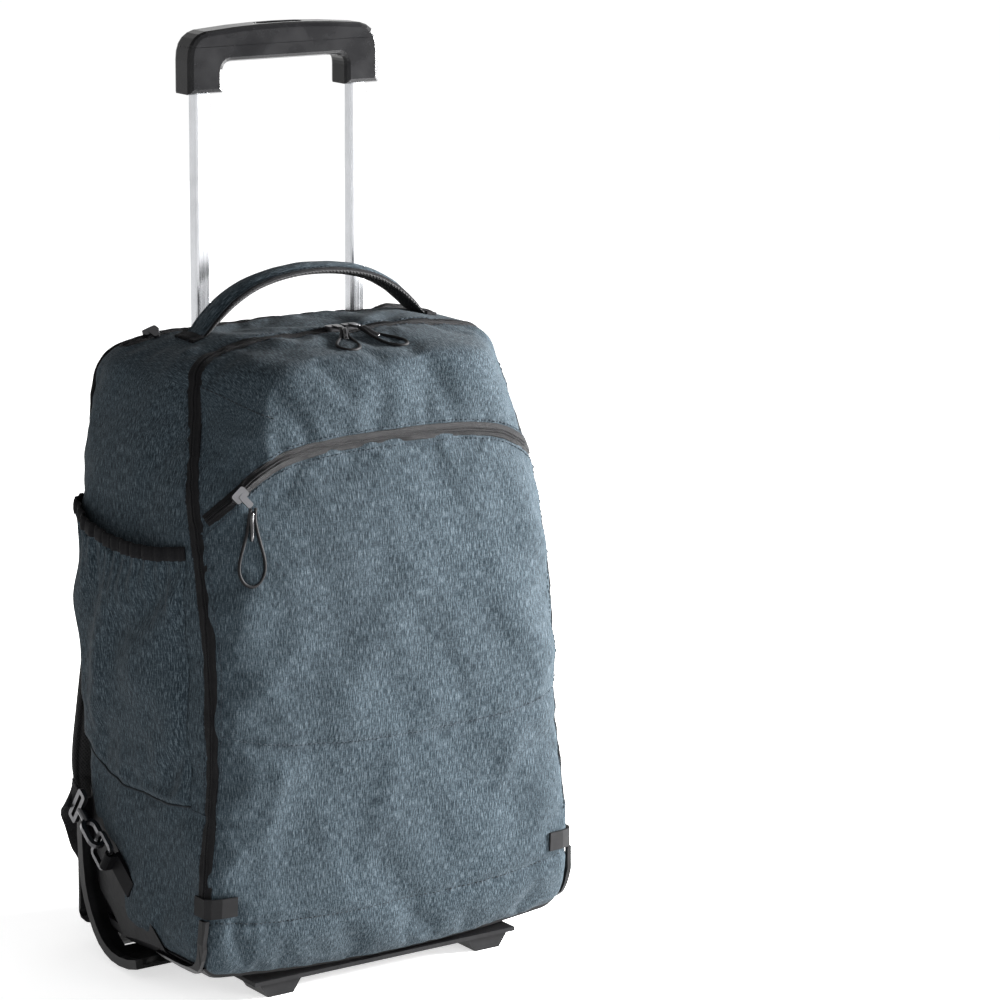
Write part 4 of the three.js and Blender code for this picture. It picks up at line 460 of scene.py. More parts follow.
def make_pulls():
    for name, points in PULLS.items():
        line = spline(points, 3)
        curve = bpy.data.curves.new(name, "CURVE")
        curve.dimensions = "3D"
        curve.bevel_depth = CORD_RADIUS * MM
        curve.bevel_resolution = 4
        curve.use_fill_caps = True
        path = curve.splines.new("POLY")
        path.points.add(len(line) - 1)
        for point, p in zip(path.points, line):
            point.co = (*(p * MM), 1)
        curve.materials.append(RUBBER)
        obj = bpy.data.objects.new("cord_" + name, curve)
        bpy.context.scene.collection.objects.link(obj)
        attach(obj, "bag")
        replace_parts(obj, name)
        sleeve = [line[k].lerp(line[-1 - k], 0.5) for k in range(1, 9)]
        knot = piece("sleeve_" + name, *tube_part(sleeve, SLEEVE_RADII, 12, 0.62), "rubber", [GLOSS])


make_pulls()


# The bag's cloth skin

LOW = (-210, -158, 14)
HIGH = (165, 77, 544)
INNER = ((-133, -77, 90), (87, 3, 440))
CELL = 5
SKIN_NODES = (
    "gusset", "lid_panel", "pocket_panel", "main_zip", "pocket_zip", "back_zip", "back_panel",
    "lower_back_panel", "base_board",
)
# Main zip seen from the side: y and z.
MAIN_ZIP = [
    (-117.9, 20), (-117.9, 40), (-123.6, 84.8), (-124.9, 119.2), (-123.4, 148.2), (-121.7, 175.2), (-123, 203.6),
    (-127.3, 232.9), (-128.7, 260.9), (-126.5, 289.1), (-124, 316.1), (-119.6, 342.9), (-113.7, 369.5),
    (-107.1, 395.3), (-98.7, 420.8), (-87.9, 445.9), (-77.5, 472.1), (-68.9, 496.1), (-61.3, 514.2),
    (-52.8, 531.2), (-41.8, 561.2),
]
# Front pocket zip seen from the front: x and z.
POCKET_ZIP = [
    (-260, 330), (-227.9, 360), (-169.1, 421.3), (-152.2, 434.9), (-128.2, 447), (-92.6, 453), (-58, 454.6),
    (-23.2, 455), (12, 454.6), (46.3, 453), (81.9, 447), (105.9, 434.9), (122.8, 421.3), (181.5, 360), (215, 330),
]
BACK_HALF, BACK_TOP, BACK_RADIUS = 165, 514, 35
PANEL_LINE = 145
CHANNEL = 62
# The handle's mouth seen from above: the ends of x, then of y.
MOUTH_X, MOUTH_Y = (-116.2, 69.8), (28.3, 58.3)


def cad_tree(names):
    verts, faces = [], []
    for name in names:
        mesh = nodes[name].data
        base = len(verts)
        verts += [v.co * 1000 for v in mesh.vertices]
        faces += [tuple(base + i for i in p.vertices) for p in mesh.polygons]
    return BVHTree.FromPolygons(verts, faces)


def lattice():
    """Points, quads and corner uvs of a finely divided box round the bag."""
    counts = [round((h - l) / CELL) for l, h in zip(LOW, HIGH)]
    index, points, quads, uvs = {}, [], [], []

    def corner(key):
        if key not in index:
            index[key] = len(points)
            points.append([l + (h - l) * k / c for l, h, k, c in zip(LOW, HIGH, key, counts)])
        return index[key]

    for axis in range(3):
        a, b = [k for k in range(3) if k != axis]
        for end in (0, counts[axis]):
            for i in range(counts[a]):
                for j in range(counts[b]):
                    keys = []
                    for di, dj in ((0, 0), (1, 0), (1, 1), (0, 1)):
                        key = [0, 0, 0]
                        key[axis], key[a], key[b] = end, i + di, j + dj
                        keys.append(tuple(key))
                    if (end == 0) != (axis == 1):
                        keys.reverse()
                    quads.append(tuple(corner(key) for key in keys))
                    uvs += [(points[index[key]][a], points[index[key]][b]) for key in keys]
    return np.array(points, float), quads, uvs


def neighbours(quads):
    pairs = set()
    for quad in quads:
        for k in range(len(quad)):
            a, b = quad[k], quad[(k + 1) % len(quad)]
            pairs.add((min(a, b), max(a, b)))
    return np.array(sorted(pairs))


def relax(co, pairs, free, steps, share):
    count = np.zeros(len(co))
    np.add.at(count, pairs[:, 0], 1)
    np.add.at(count, pairs[:, 1], 1)
    for _ in range(steps):
        total = np.zeros_like(co)
        np.add.at(total, pairs[:, 0], co[pairs[:, 1]])
        np.add.at(total, pairs[:, 1], co[pairs[:, 0]])
        co[free] += share * (total[free] / count[free, None] - co[free])


def table_at(table, key, column, value):
    keys = [row[key] for row in table]
    return float(np.interp(value, keys, [row[column] for row in table]))


def past_cloth(aim, spot):
    """Whether a ray went past the cloth, through the handle's mouth or a wheel well."""
    x, y, z = spot
    if aim[2] > HIGH[2] - 1 and abs(aim[0] - X0) < 118 and 8 < aim[1] < 77 and z < 505:
        return True
    return z > 480 and abs(x - X0) < 104 and 18 < y < 66 or z < 112 and abs(x - X0) > 112 and y > 8


def wrap_skin():
    points, quads, uvs = lattice()
    tree = cad_tree(SKIN_NODES)
    targets = np.clip(points, *np.array(INNER, float))
    co = points.copy()
    lost = np.zeros(len(points), bool)
    for k, (start, end) in enumerate(zip(points, targets)):
        way = Vector(end - start)
        spot = tree.ray_cast(Vector(start), way.normalized(), way.length + 60)[0]
        lost[k] = spot is None or past_cloth(start, spot)
        co[k] = start + 0.4 * (end - start) if spot is None else spot
    pairs = neighbours(quads)
    relax(co, pairs, lost, 260, 1.0)
    relax(co, pairs, np.ones(len(co), bool), 4, 0.5)
    return co, quads, uvs


def main_zip_field(p):
    return p.y - table_at(MAIN_ZIP, 1, 0, p.z)


def pocket_zip_field(p):
    return p.z - table_at(POCKET_ZIP, 0, 1, p.x)


def back_plane(z):
    return mix(30, 57.5, smooth((z - 30) / 60))


def back_outline_field(p):
    dx = abs(p.x - X0) - (BACK_HALF - BACK_RADIUS)
    dz = p.z - (BACK_TOP - BACK_RADIUS)
    if dx > 0 and dz > 0:
        return math.hypot(dx, dz) - BACK_RADIUS
    return max(dx, dz) - BACK_RADIUS


def mouth_field(p):
    return max(abs(c - (low + high) / 2) - (high - low) / 2 for c, (low, high) in ((p.x, MOUTH_X), (p.y, MOUTH_Y)))


def cut(bm, field, where):
    """Cuts the mesh along the line where the field is zero."""
    value = {v: field(v.co) + 1e-4 for v in bm.verts if where(v.co)}
    fresh = set()
    for edge in list(bm.edges):
        a, b = edge.verts
        if a in value and b in value and value[a] * value[b] < 0:
            share = value[a] / (value[a] - value[b])
            fresh.add(bmesh.utils.edge_split(edge, a, min(0.98, max(0.02, share)))[1])
    for face in [f for f in bm.faces if sum(v in fresh for v in f.verts) == 2]:
        a, b = [v for v in face.verts if v in fresh]
        bmesh.utils.face_split(face, a, b)


GUSSET, LID, POCKET, BACK, LOWER_BACK, NONE = range(6)


def region_of(p):
    if main_zip_field(p) < 0:
        return LID if pocket_zip_field(p) > 0 else POCKET
    if p.z > 470 and mouth_field(p) < 0:
        return NONE
    if p.y > back_plane(p.z) and back_outline_field(p) < 0:
        return BACK if p.z > PANEL_LINE else LOWER_BACK
    return NONE if p.z < 36 else GUSSET


# Folds pressed into the cloth: two ends, the widths across, and how far the cloth rises.
FOLDS = [
    ((-172, -40, 470), (-150, -30, 524), 7, 2.4),
    ((-181, -20, 452), (-160, -8, 522), 8, 2.2),
    ((-186, 10, 440), (-168, 14, 518), 8, 1.8),
    ((-188, 36, 430), (-172, 36, 512), 7, 1.8),
    ((-150, -95, 470), (-90, -70, 528), 9, 1.6),
    ((-120, -122, 468), (-50, -62, 531), 10, 1.8),
    ((-60, -126, 470), (-36, -60, 531), 9, 1.5),
    ((20, -126, 470), (-6, -60, 531), 9, 1.6),
    ((90, -118, 466), (10, -62, 531), 10, 1.4),
    ((128, -90, 470), (96, -60, 524), 8, 1.8),
    ((-90, -20, 532), (-30, -46, 532), 8, 1.4),
    ((40, -16, 532), (0, -44, 532), 8, 1.2),
    ((-198, -90, 330), (-188, -50, 400), 9, 2.0),
    ((-200, -108, 300), (-196, -70, 220), 9, -1.6),
    ((-203, -60, 150), (-201, -112, 190), 8, 2.0),
    ((-203, 20, 182), (-201, -100, 176), 6, -1.6),
    ((154, -60, 150), (150, -112, 190), 8, 2.0),
    ((154, 20, 182), (150, -100, 176), 6, -1.6),
    ((-188, -132, 240), (-120, -146, 300), 14, 1.8),
    ((-186, -128, 330), (-120, -144, 350), 14, 1.6),
    ((130, -132, 250), (70, -146, 300), 14, 1.6),
    ((120, -130, 360), (60, -142, 340), 14, 1.4),
    ((-90, -146, 250), (-20, -148, 330), 20, 1.2),
    ((-192, -134, 175), (-120, -144, 196), 9, 1.6),
    ((-150, -143, 120), (-140, -143, 200), 10, 1.2),
    ((60, -143, 110), (90, -143, 196), 10, 1.2),
    ((-60, -143, 100), (-30, -144, 190), 12, 1.2),
    ((-198, -124, 110), (-150, -139, 150), 8, 1.4),
]
FOLD_SCALE = 1.5


def fold_height(p):
    total = 0.0
    for start, end, width, height in FOLDS:
        a, b = Vector(start), Vector(end)
        way = b - a
        t = (p - a).dot(way) / way.length_squared
        if -0.3 < t < 1.3:
            near = a + way * min(1, max(0, t))
            gap = (p - near).length / width
            if gap < 3:
                ends = smooth((t + 0.3) / 0.45) * smooth((1.3 - t) / 0.45)
                total += FOLD_SCALE * height * math.exp(-gap * gap) * ends
    return total


# Seams sewn across the front: x, z and the depth of the groove.
FRONT_SEAM = [
    (-191, 226), (-188, 228), (-153, 218), (-116, 213), (-78, 210), (-20, 207), (39, 208), (89, 211), (118, 217),
    (140, 224),
]
HEM_LINE = [(-200, 78), (-150, 71), (-90, 68), (-23, 67), (45, 68), (105, 71), (150, 78)]
SIDE_SEAM = [(41, 188), (24, 175), (-11, 168), (-38, 163), (-80, 161), (-122, 160)]


def seam_height(p, region, normal):
    """Grooves of the sewn lines, with small puckers along them."""
    rows = []
    if region == POCKET:
        rows = [(p.z - table_at(FRONT_SEAM, 0, 1, p.x), 1.6), (p.z - table_at(HEM_LINE, 0, 1, p.x), 1.3)]
    elif region == GUSSET and abs(normal.x) > 0.6:
        rows = [(p.z - float(np.interp(-p.y, [-y for y, _ in SIDE_SEAM], [z for _, z in SIDE_SEAM])), 1.5)]
    elif region == BACK:
        rows = [(abs(abs(p.x - X0) - CHANNEL), 1.6)]
    height = 0.0
    for gap, depth in rows:
        gap = abs(gap)
        height -= depth * math.exp(-(gap / 3.2) ** 2)
        height += 2.0 * math.exp(-gap / 9) * fold((p.x * 1.3, p.y * 1.3, p.z * 0.35), 8)
    return height


def relief(p, gap):
    """The dip at a sewn border, the puckers beside it, and broad and small slanting folds."""
    height = -1.4 * math.exp(-(gap / 4) ** 2)
    height += 2.0 * math.exp(-gap / 12) * smooth(gap / 3) * fold(p, 9, 3.0)
    slant = Vector((p.x * 1.5 + p.z * 0.9, p.y * 1.5 + p.z * 0.6, p.z * 0.75 - p.x * 0.5))
    height += 3.4 * fold(slant, 68, 7.0) * smooth(gap / 26) + 0.8 * fold(slant, 27, 11.0) * smooth(gap / 14)
    return height


def make_skin():
    co, quads, uvs = wrap_skin()
    mesh = bpy.data.meshes.new("skin")
    mesh.from_pydata([tuple(p) for p in co], [], quads)
    layer = mesh.uv_layers.new(name="UVMap")
    layer.data.foreach_set("uv", np.array(uvs, np.float32).ravel())
    bm = bmesh.new()
    bm.from_mesh(mesh)
    cut(bm, main_zip_field, lambda p: True)
    cut(bm, pocket_zip_field, lambda p: main_zip_field(p) < 6)
    cut(bm, lambda p: p.y - back_plane(p.z), lambda p: p.y > 10)
    cut(bm, back_outline_field, lambda p: p.y > 46)
    cut(bm, lambda p: p.z - PANEL_LINE, lambda p: p.y > 52)
    cut(bm, mouth_field, lambda p: p.z > 470 and p.y > 5)
    bm.faces.ensure_lookup_table()
    regions = [region_of(f.calc_center_median()) for f in bm.faces]
    bmesh.ops.recalc_face_normals(bm, faces=bm.faces)
    if sum((f.calc_center_median() - Vector((X0, 0, 280))).dot(f.normal) * f.calc_area() for f in bm.faces) < 0:
        bmesh.ops.reverse_faces(bm, faces=bm.faces)
    bm.verts.index_update()
    bm.faces.index_update()
    edge_points = set()
    for edge in bm.edges:
        if len(edge.link_faces) == 1 or len({regions[f.index] for f in edge.link_faces}) > 1:
            edge_points.update(edge.verts)
    border = KDTree(len(bm.verts))
    for v in edge_points:
        border.insert(v.co, v.index)
    border.balance()
    bm.normal_update()
    gaps = [border.find(v.co)[2] for v in bm.verts]
    homes = [regions[v.link_faces[0].index] if v.link_faces else NONE for v in bm.verts]
    moved = []
    for v, gap, home in zip(bm.verts, gaps, homes):
        height = relief(v.co, gap)
        height += fold_height(v.co) * smooth(gap / 6) + seam_height(v.co, home, v.normal)
        moved.append(v.co + v.normal * height)
    for v, p in zip(bm.verts, moved):
        v.co = p
    bm.to_mesh(mesh)
    bm.free()
    return mesh, regions, gaps


CLOTH_SETTINGS = {
    "quality": 4, "mass": 0.25, "tension_stiffness": 25, "compression_stiffness": 25, "shear_stiffness": 10,
    "bending_stiffness": 3.0, "air_damping": 6, "vertex_group_mass": "sewn", "pin_stiffness": 1,
    "use_pressure": True,
}


def inflate(mesh, gaps, cap, shrink, pressure, frames=20):
    """Lets the cloth settle between its seams, in metres, with its movement capped in millimetres."""
    scratch = mesh.copy()
    scratch.transform(Matrix.Scale(MM, 4))
    obj = bpy.data.objects.new("settling_cloth", scratch)
    bpy.context.scene.collection.objects.link(obj)
    group = obj.vertex_groups.new(name="sewn")
    for k, gap in enumerate(gaps):
        group.add([k], 1.0 if gap < 2.5 else 0.0, "REPLACE")
    cloth = obj.modifiers.new("Cloth", "CLOTH")
    settings = cloth.settings
    for key, value in CLOTH_SETTINGS.items():
        setattr(settings, key, value)
    settings.uniform_pressure_force = pressure
    settings.shrink_min = -shrink
    settings.effector_weights.gravity = 0
    cloth.collision_settings.use_collision = False
    cloth.point_cache.frame_end = frames
    scene = bpy.context.scene
    for number in range(1, frames + 1):
        scene.frame_set(number)
    settled = obj.evaluated_get(bpy.context.evaluated_depsgraph_get()).to_mesh()
    start = np.zeros(len(mesh.vertices) * 3)
    end = np.zeros(len(mesh.vertices) * 3)
    mesh.vertices.foreach_get("co", start)
    settled.vertices.foreach_get("co", end)
    move = (end * 1000 - start).reshape(-1, 3)
    far = np.linalg.norm(move, axis=1)
    move *= (cap * np.tanh(far / cap) / np.maximum(far, 1e-6))[:, None]
    mesh.vertices.foreach_set("co", start + move.ravel())
    scene.frame_set(1)
    bpy.data.objects.remove(obj)
    bpy.data.meshes.remove(scratch)


def in_well(p):
    return p.z < 78 and p.y > 18 and abs(abs(p.x - X0) - 147) < 19


def split_skin(mesh, regions):
    places = [v.co.copy() for v in mesh.vertices]
    layer = mesh.uv_layers[0].data
    made = {}
    rows = (
        ("gusset_cloth", "gusset", CLOTH, "cloth"),
        ("lid_cloth", "lid_panel", CLOTH, "cloth"),
        ("pocket_cloth", "pocket_panel", CLOTH, "cloth"),
        ("back_cloth", "back_panel", CLOTH, "cloth"),
        ("lower_back_cloth", "lower_back_panel", COATED, "coated_cloth"),
    )
    for number, (name, replaced, mat, slot) in enumerate(rows):
        index, verts, faces, uvs = {}, [], [], []
        for face, region in zip(mesh.polygons, regions):
            if region != number:
                continue
            middle = sum((places[i] for i in face.vertices), Vector()) / len(face.vertices)
            if in_well(middle) or (number != POCKET and middle.z < 34):
                continue
            for i in face.vertices:
                if i not in index:
                    index[i] = len(verts)
                    verts.append(tuple(places[i]))
            faces.append(tuple(index[i] for i in face.vertices))
            uvs += [tuple(layer[i].uv) for i in face.loop_indices]
        made[name] = piece(name, verts, faces, uvs, slot, [mat], level=1)
        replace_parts(made[name], replaced)


skin, skin_regions, skin_gaps = make_skin()
inflate(skin, skin_gaps, cap=4.0, shrink=0.012, pressure=1.5)
SKIN = BVHTree.FromPolygons([v.co.copy() for v in skin.vertices], [tuple(p.vertices) for p in skin.polygons])
split_skin(skin, skin_regions)


def on_skin(p):
    """The nearest place on the cloth, and the way out of it."""
    return SKIN.find_nearest(p)[:2]


def cast(start, way):
    return SKIN.ray_cast(Vector(start), Vector(way))[0]


def side_at(side, y, z):
    return cast((X0 + side * 300, y, z), (-side, 0, 0))


def front_at(x, z):
    return cast((x, -300, z), REARWARD)


def back_at(x, z):
    return cast((x, 300, z), -REARWARD)


def top_at(x, y):
    return cast((x, y, 700), DOWN)


# Trims that follow the cloth

def smoothed(line, times=6):
    line = [p for p in line if p is not None]
    for _ in range(times):
        line = [line[0]] + [(a + 2 * b + c) / 4 for a, b, c in zip(line, line[1:], line[2:])] + [line[-1]]
    return line


def draped(name, line, section, mat, pitch=4.0):
    """A strip laid along the cloth. section holds pairs: the way across, and the height over the cloth."""
    line = even(smoothed(line), pitch)
    normals = [on_skin(p)[1] for p in line]
    rings = []
    for k, p in enumerate(line):
        normal = sum(normals[max(0, k - 2):k + 3], Vector()).normalized()
        across = heading(line, k).cross(normal).normalized()
        base, _ = on_skin(p)
        ring = []
        for aside, height in section:
            flat = base + across * aside
            ring.append(on_skin(flat)[0].lerp(flat, 0.45) + normal * height)
        rings.append(ring)
    return loft(name, rings, "zip", [mat])


POCKET_ZIP_SHARE = 0.85
ZIP_SECTION = [
    (-6.6, -1.4), (-6.6, 0.5), (-6.0, 0.9), (-2.4, 1.0), (-2.1, 1.7), (-1.2, 2.1), (-0.4, 1.7), (0, 1.1),
    (0.4, 1.7), (1.2, 2.1), (2.1, 1.7), (2.4, 1.0), (6.0, 0.9), (6.6, 0.5), (6.6, -1.4),
]


def piping_section(radius, lift, sides=10):
    return [
        (radius * math.cos(2 * math.pi * k / sides), lift + radius * math.sin(2 * math.pi * k / sides))
        for k in range(sides)
    ]


def stitches(name, line, pitch, mat):
    """A row of separate sewn stitches lying in the cloth."""
    dots = even(smoothed(line, 2), pitch)
    merged_piece(name, [
        stitch_part(*on_skin(a), (b - a).normalized()) for a, b in zip(dots, dots[1:])
    ], "cloth", mat)


def main_zip_line():
    """The main zip from its foot on the left, over the top, to its foot on the right."""
    rows = [row for row in MAIN_ZIP if 82 < row[1] < 525]
    left = [side_at(-1, y, z) for y, z in rows]
    right = [side_at(1, y, z) for y, z in rows]
    over = [top_at(x, -53.6) for x in np.linspace(-163, 117, 29)]
    return left + over + right[::-1]


def front_line(table, low, high, count=40):
    xs = np.linspace(max(low, table[0][0]), min(high, table[-1][0]), count)
    return [p for p in (front_at(x, table_at(table, 0, 1, x)) for x in xs) if p is not None]


def make_zips():
    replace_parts(draped("main_zip_chain", main_zip_line(), ZIP_SECTION, ZIP, 3.0), "main_zip")
    line = [p for p in front_line(POCKET_ZIP, -230, 184, 90) if main_zip_field(p) < -1]
    narrow = [(POCKET_ZIP_SHARE * a, h) for a, h in ZIP_SECTION]
    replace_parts(draped("pocket_zip_chain", line, narrow, ZIP, 3.0), "pocket_zip")
    for side, tag in SIDES:
        line = [top_at(X0 + side * x, 43.3) for x in np.linspace(96, 149, 14)]
        chain = draped(f"back_zip_{tag}", line, ZIP_SECTION, ZIP, 3.0)
        if tag == "left":
            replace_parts(chain, "back_zip")
    lip = [(0.6 * a, h * 0.9) for a, h in ZIP_SECTION]
    for y, tag in ((26.0, "front"), (60.6, "rear")):
        draped(f"back_zip_{tag}", [top_at(X0 + x, y) for x in np.linspace(-95, 95, 40)], lip, ZIP, 3.0)


def outline_back_line(inset=0.0):
    """The seam round the back panel, from the left housing over the top to the right one."""
    half, radius, top = BACK_HALF - inset, BACK_RADIUS - inset, BACK_TOP - inset
    points = [(-half, z) for z in np.linspace(134, top - radius, 40)]
    points += [
        (-half + radius - radius * math.cos(t), top - radius + radius * math.sin(t))
        for t in np.linspace(0.1, math.pi / 2, 10)
    ]
    points += [(x, top) for x in np.linspace(-half + radius + 6, 0, 18)]
    points += [(-x, z) for x, z in reversed(points[:-1])]
    return [back_at(X0 + x, z) for x, z in points]


# How far the rows of stitches beside a zip are from its middle.
ZIP_STITCH_GAP = 7.6


def make_trims():
    draped("back_piping", outline_back_line(), piping_section(2.2, 1.4), TAPE)
    line = [back_at(X0 + x, PANEL_LINE) for x in np.linspace(-162, 162, 60)]
    draped("lower_piping", line, piping_section(1.8, 1.2), TAPE)
    stitches("back_stitches", outline_back_line(7), 4.5, BLUE_THREAD)
    for number, x in enumerate((-CHANNEL, CHANNEL)):
        stitches(f"back_channel_{number}", [back_at(X0 + x, z) for z in np.linspace(150, 505, 60)], 4.6, THREAD)
    stitches("front_seam_upper", [p + UP * 4 for p in front_line(FRONT_SEAM, -186, 132)], 4.2, BLUE_THREAD)
    stitches("hem_stitches", front_line(HEM_LINE, -192, 146), 4.2, THREAD)
    beside = ((ZIP_STITCH_GAP, "rear"), (-ZIP_STITCH_GAP, "front"))
    rows = [row for row in MAIN_ZIP if 96 < row[1] < 512]
    for side, tag in SIDES:
        stitches(f"side_stitches_{tag}", [side_at(side, y, z + 3) for y, z in SIDE_SEAM], 4.2, BLUE_THREAD)
        for shift, part in beside:
            line = [side_at(side, y + shift, z + shift * 0.3) for y, z in rows]
            stitches(f"zip_stitches_{part}_{tag}", line, 4.2, BLUE_THREAD)
    for shift, part in beside:
        line = [top_at(x, -53.6 + shift) for x in np.linspace(-156, 110, 50)]
        stitches(f"zip_stitches_{part}_top", line, 4.2, BLUE_THREAD)
    for shift, part in ((ZIP_STITCH_GAP, "upper"), (-ZIP_STITCH_GAP, "lower")):
        line = [front_at(p.x, p.z + shift) for p in front_line(POCKET_ZIP, -190, 140)]
        stitches(f"pocket_stitches_{part}", line, 4.2, BLUE_THREAD)
    dart = [front_at(x, z) for x, z in ((-168, 500), (-156, 492), (-144, 484), (-130, 478))]
    stitches("dart_stitches", spline(dart, 5), 4.0, THREAD)


make_zips()
make_trims()


# Side pockets: y, the top and the bottom of each upright

POCKET_ROWS = [
    (62.6, 392.7, 190), (21.2, 383.1, 168.8), (-11.7, 378.1, 162.8), (-45.5, 376.6, 162.8), (-73.7, 376.1, 163.8),
    (-100.1, 378.6, 166.3),
]


BINDING_SECTION = (
    (-5.5, 0.2), (-5.6, 1.7), (-2, 2.3), (2, 2.3), (5.4, 1.7), (5.8, 0), (5.4, -1.2), (-5.4, -1.0),
)
POCKET_COLUMNS, POCKET_STEPS = 64, 76


def pocket_billow(y, z, v):
    """The pocket's gathers at its mouth and foot, broad slanting folds and small ones."""
    gather = 2.4 * v ** 7 * math.sin(2 * math.pi * y / 13 + 2.5 * fold((0, y, z), 40, 5))
    low = 0.8 * (1 - v) ** 4 * math.sin(2 * math.pi * y / 23 + 3 * fold((0, y, z), 50, 2))
    slant = (y * 0.85 + z * 0.55) / 72 + 0.9 * fold((0, y, z), 90, 9)
    big = 4.2 * math.sin(2 * math.pi * slant) * math.sin(math.pi * min(1, max(0, v * 0.9))) ** 0.8
    return gather + low + big + 1.0 * fold((0, y * 1.4, z * 0.7), 22, 1)


def make_side_pocket(side, tag):
    tree = cad_tree((f"side_pocket_{tag}", f"pocket_binding_{tag}"))
    ys = np.linspace(POCKET_ROWS[0][0] - 0.5, POCKET_ROWS[-1][0] + 0.5, POCKET_COLUMNS + 1)
    table = sorted(POCKET_ROWS)
    grid = []
    for row in range(POCKET_STEPS + 1):
        v = row / POCKET_STEPS
        line = []
        for col, y in enumerate(ys):
            u = col / POCKET_COLUMNS
            top, bottom = table_at(table, 0, 1, y), table_at(table, 0, 2, y)
            z = mix(bottom, top - 9, v)
            cloth_x = side_at(side, y, z).x
            hit = tree.ray_cast(Vector((X0 + side * 300, y, z)), Vector((-side, 0, 0)))[0]
            out = side * (hit.x - cloth_x) if hit else 0.0
            edge = min(u, 1 - u) * (ys[0] - ys[-1])
            free = smooth(min(edge / 7, (z - bottom) / 6))
            height = mix(0.6, max(out, 2.0) + 1.5, free) + free * pocket_billow(y, z, v)
            sag = -3.0 * math.sin(math.pi * u) * v
            line.append(Vector((cloth_x + side * max(0.5, height), y, z + sag)))
        grid.append(line)
    verts = [tuple(p) for line in grid for p in line]
    faces, uvs = [], []
    for row in range(POCKET_STEPS):
        for col in range(POCKET_COLUMNS):
            a = row * (POCKET_COLUMNS + 1) + col
            quad = (a, a + 1, a + POCKET_COLUMNS + 2, a + POCKET_COLUMNS + 1)
            faces.append(quad if side < 0 else quad[::-1])
            uvs += [(verts[i][1], verts[i][2]) for i in faces[-1]]
    cloth = piece(f"pocket_cloth_{tag}", verts, faces, uvs, "cloth", [CLOTH], level=1)
    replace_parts(cloth, f"side_pocket_{tag}")
    # The gathered elastic binding along the mouth.
    rings = []
    line = even(smoothed(grid[-1], 2), lengths(grid[-1])[-1] / 150)
    for k, p in enumerate(line):
        along = heading(line, k)
        high = square(UP, along)
        out = along.cross(high)
        if out.x * side < 0:
            out = -out
        pleat = 0.7 * math.sin(2 * math.pi * k / 5.2) + 0.5 * fold(p, 6, 4)
        ring = []
        for a, b in BINDING_SECTION:
            wide = a + 0.3 * pleat * (1 if a > 0 else -1)
            ring.append(p + high * (wide + 4.5) + out * (b * 0.9 + (pleat * 0.7 if b > 1 else 0)))
        rings.append(ring)
    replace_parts(loft(f"binding_{tag}", rings, "zip", [TAPE]), f"pocket_binding_{tag}")
    # painted shade: a continuous dark line of thread colour along the pocket's foot stands for the shaded seam where
    # the pocket meets the bag
    foot = even([p + Vector((side * 0.4, 0, 0)) for p in grid[0]], 4)
    piece(f"pocket_seam_shade_{tag}", *tube_part(foot, 0.9, 6), "cloth", [THREAD])


for pocket_side, pocket_tag in SIDES:
    make_side_pocket(pocket_side, pocket_tag)


# Padded straps: centre, the way across, the way out of the bag's side, width and thickness

STRAPS = {
    "left": [
        ((-109.2, 74, 477), (1, 0, 0), 78.0, 9.8), ((-117.4, 82.1, 439.9), (0.981, 0.04, -0.19), 78.0, 14.0),
        ((-125.7, 91.3, 395.4), (0.991, 0.025, -0.131), 76.4, 14.0),
        ((-132.2, 103, 332.3), (0.996, 0.013, -0.092), 74.1, 14.0),
        ((-137.2, 108.6, 272.9), (0.996, 0.009, -0.094), 73.3, 14.0),
        ((-144.1, 114.8, 206.2), (0.995, 0.01, -0.104), 71.0, 14.0),
        ((-150.1, 120.9, 150.5), (0.994, 0.011, -0.106), 65.5, 13.3),
        ((-153.3, 123.4, 120.8), (0.994, 0.01, -0.112), 51.5, 11.2),
        ((-155.2, 125, 106), (0.992, 0.013, -0.122), 34.3, 7.7),
    ],
    "right": [
        ((62.8, 74, 477), (1, 0, 0), 78.0, 9.8), ((79.4, 82.1, 439.9), (0.929, -0.077, 0.361), 78.0, 14.0),
        ((96, 91.3, 395.4), (0.966, -0.049, 0.255), 76.4, 14.0),
        ((108.8, 103, 332.3), (0.983, -0.026, 0.181), 74.1, 14.0),
        ((119, 108.6, 272.9), (0.983, -0.017, 0.185), 73.3, 14.0),
        ((132.8, 114.8, 206.2), (0.979, -0.02, 0.204), 71.0, 14.0),
        ((144.7, 120.9, 150.5), (0.978, -0.021, 0.209), 65.5, 13.3),
        ((151.2, 123.4, 120.8), (0.975, -0.02, 0.22), 51.5, 11.2),
        ((154.8, 125, 106), (0.971, -0.025, 0.238), 34.3, 7.7),
    ],
}
# Half of a strap's section: share of the half width, and share of the half thickness.
PAD_SECTION = [
    (-1.0, 0.10), (-0.985, 0.34), (-0.93, 0.42), (-0.87, 0.36), (-0.84, 0.26), (-0.80, 0.44), (-0.70, 0.76),
    (-0.52, 0.95), (-0.26, 1.02), (0.0, 1.04),
]


# The patch on a strap's foot: share of the half width, share of the strap's lift, and height over it.
PATCH_SECTION = (
    (-1, 0.3, 0.3), (-0.9, 0.62, 0.8), (-0.6, 0.9, 1.2), (0, 1.0, 1.4), (0.6, 0.9, 1.2), (0.9, 0.62, 0.8),
    (1, 0.3, 0.3), (0.6, 0.7, -0.4), (-0.6, 0.7, -0.4),
)


def full_section(half, under=1.0):
    top = half + [(-u, h) for u, h in half[-2::-1]]
    return top + [(u, -under * h) for u, h in top[::-1]]


def pad_kind(half, trim):
    """Which side of a padded section is netting (1), trim (2) and cloth (0)."""
    return lambda k: 1 if k >= half else 2 if k in trim else 0


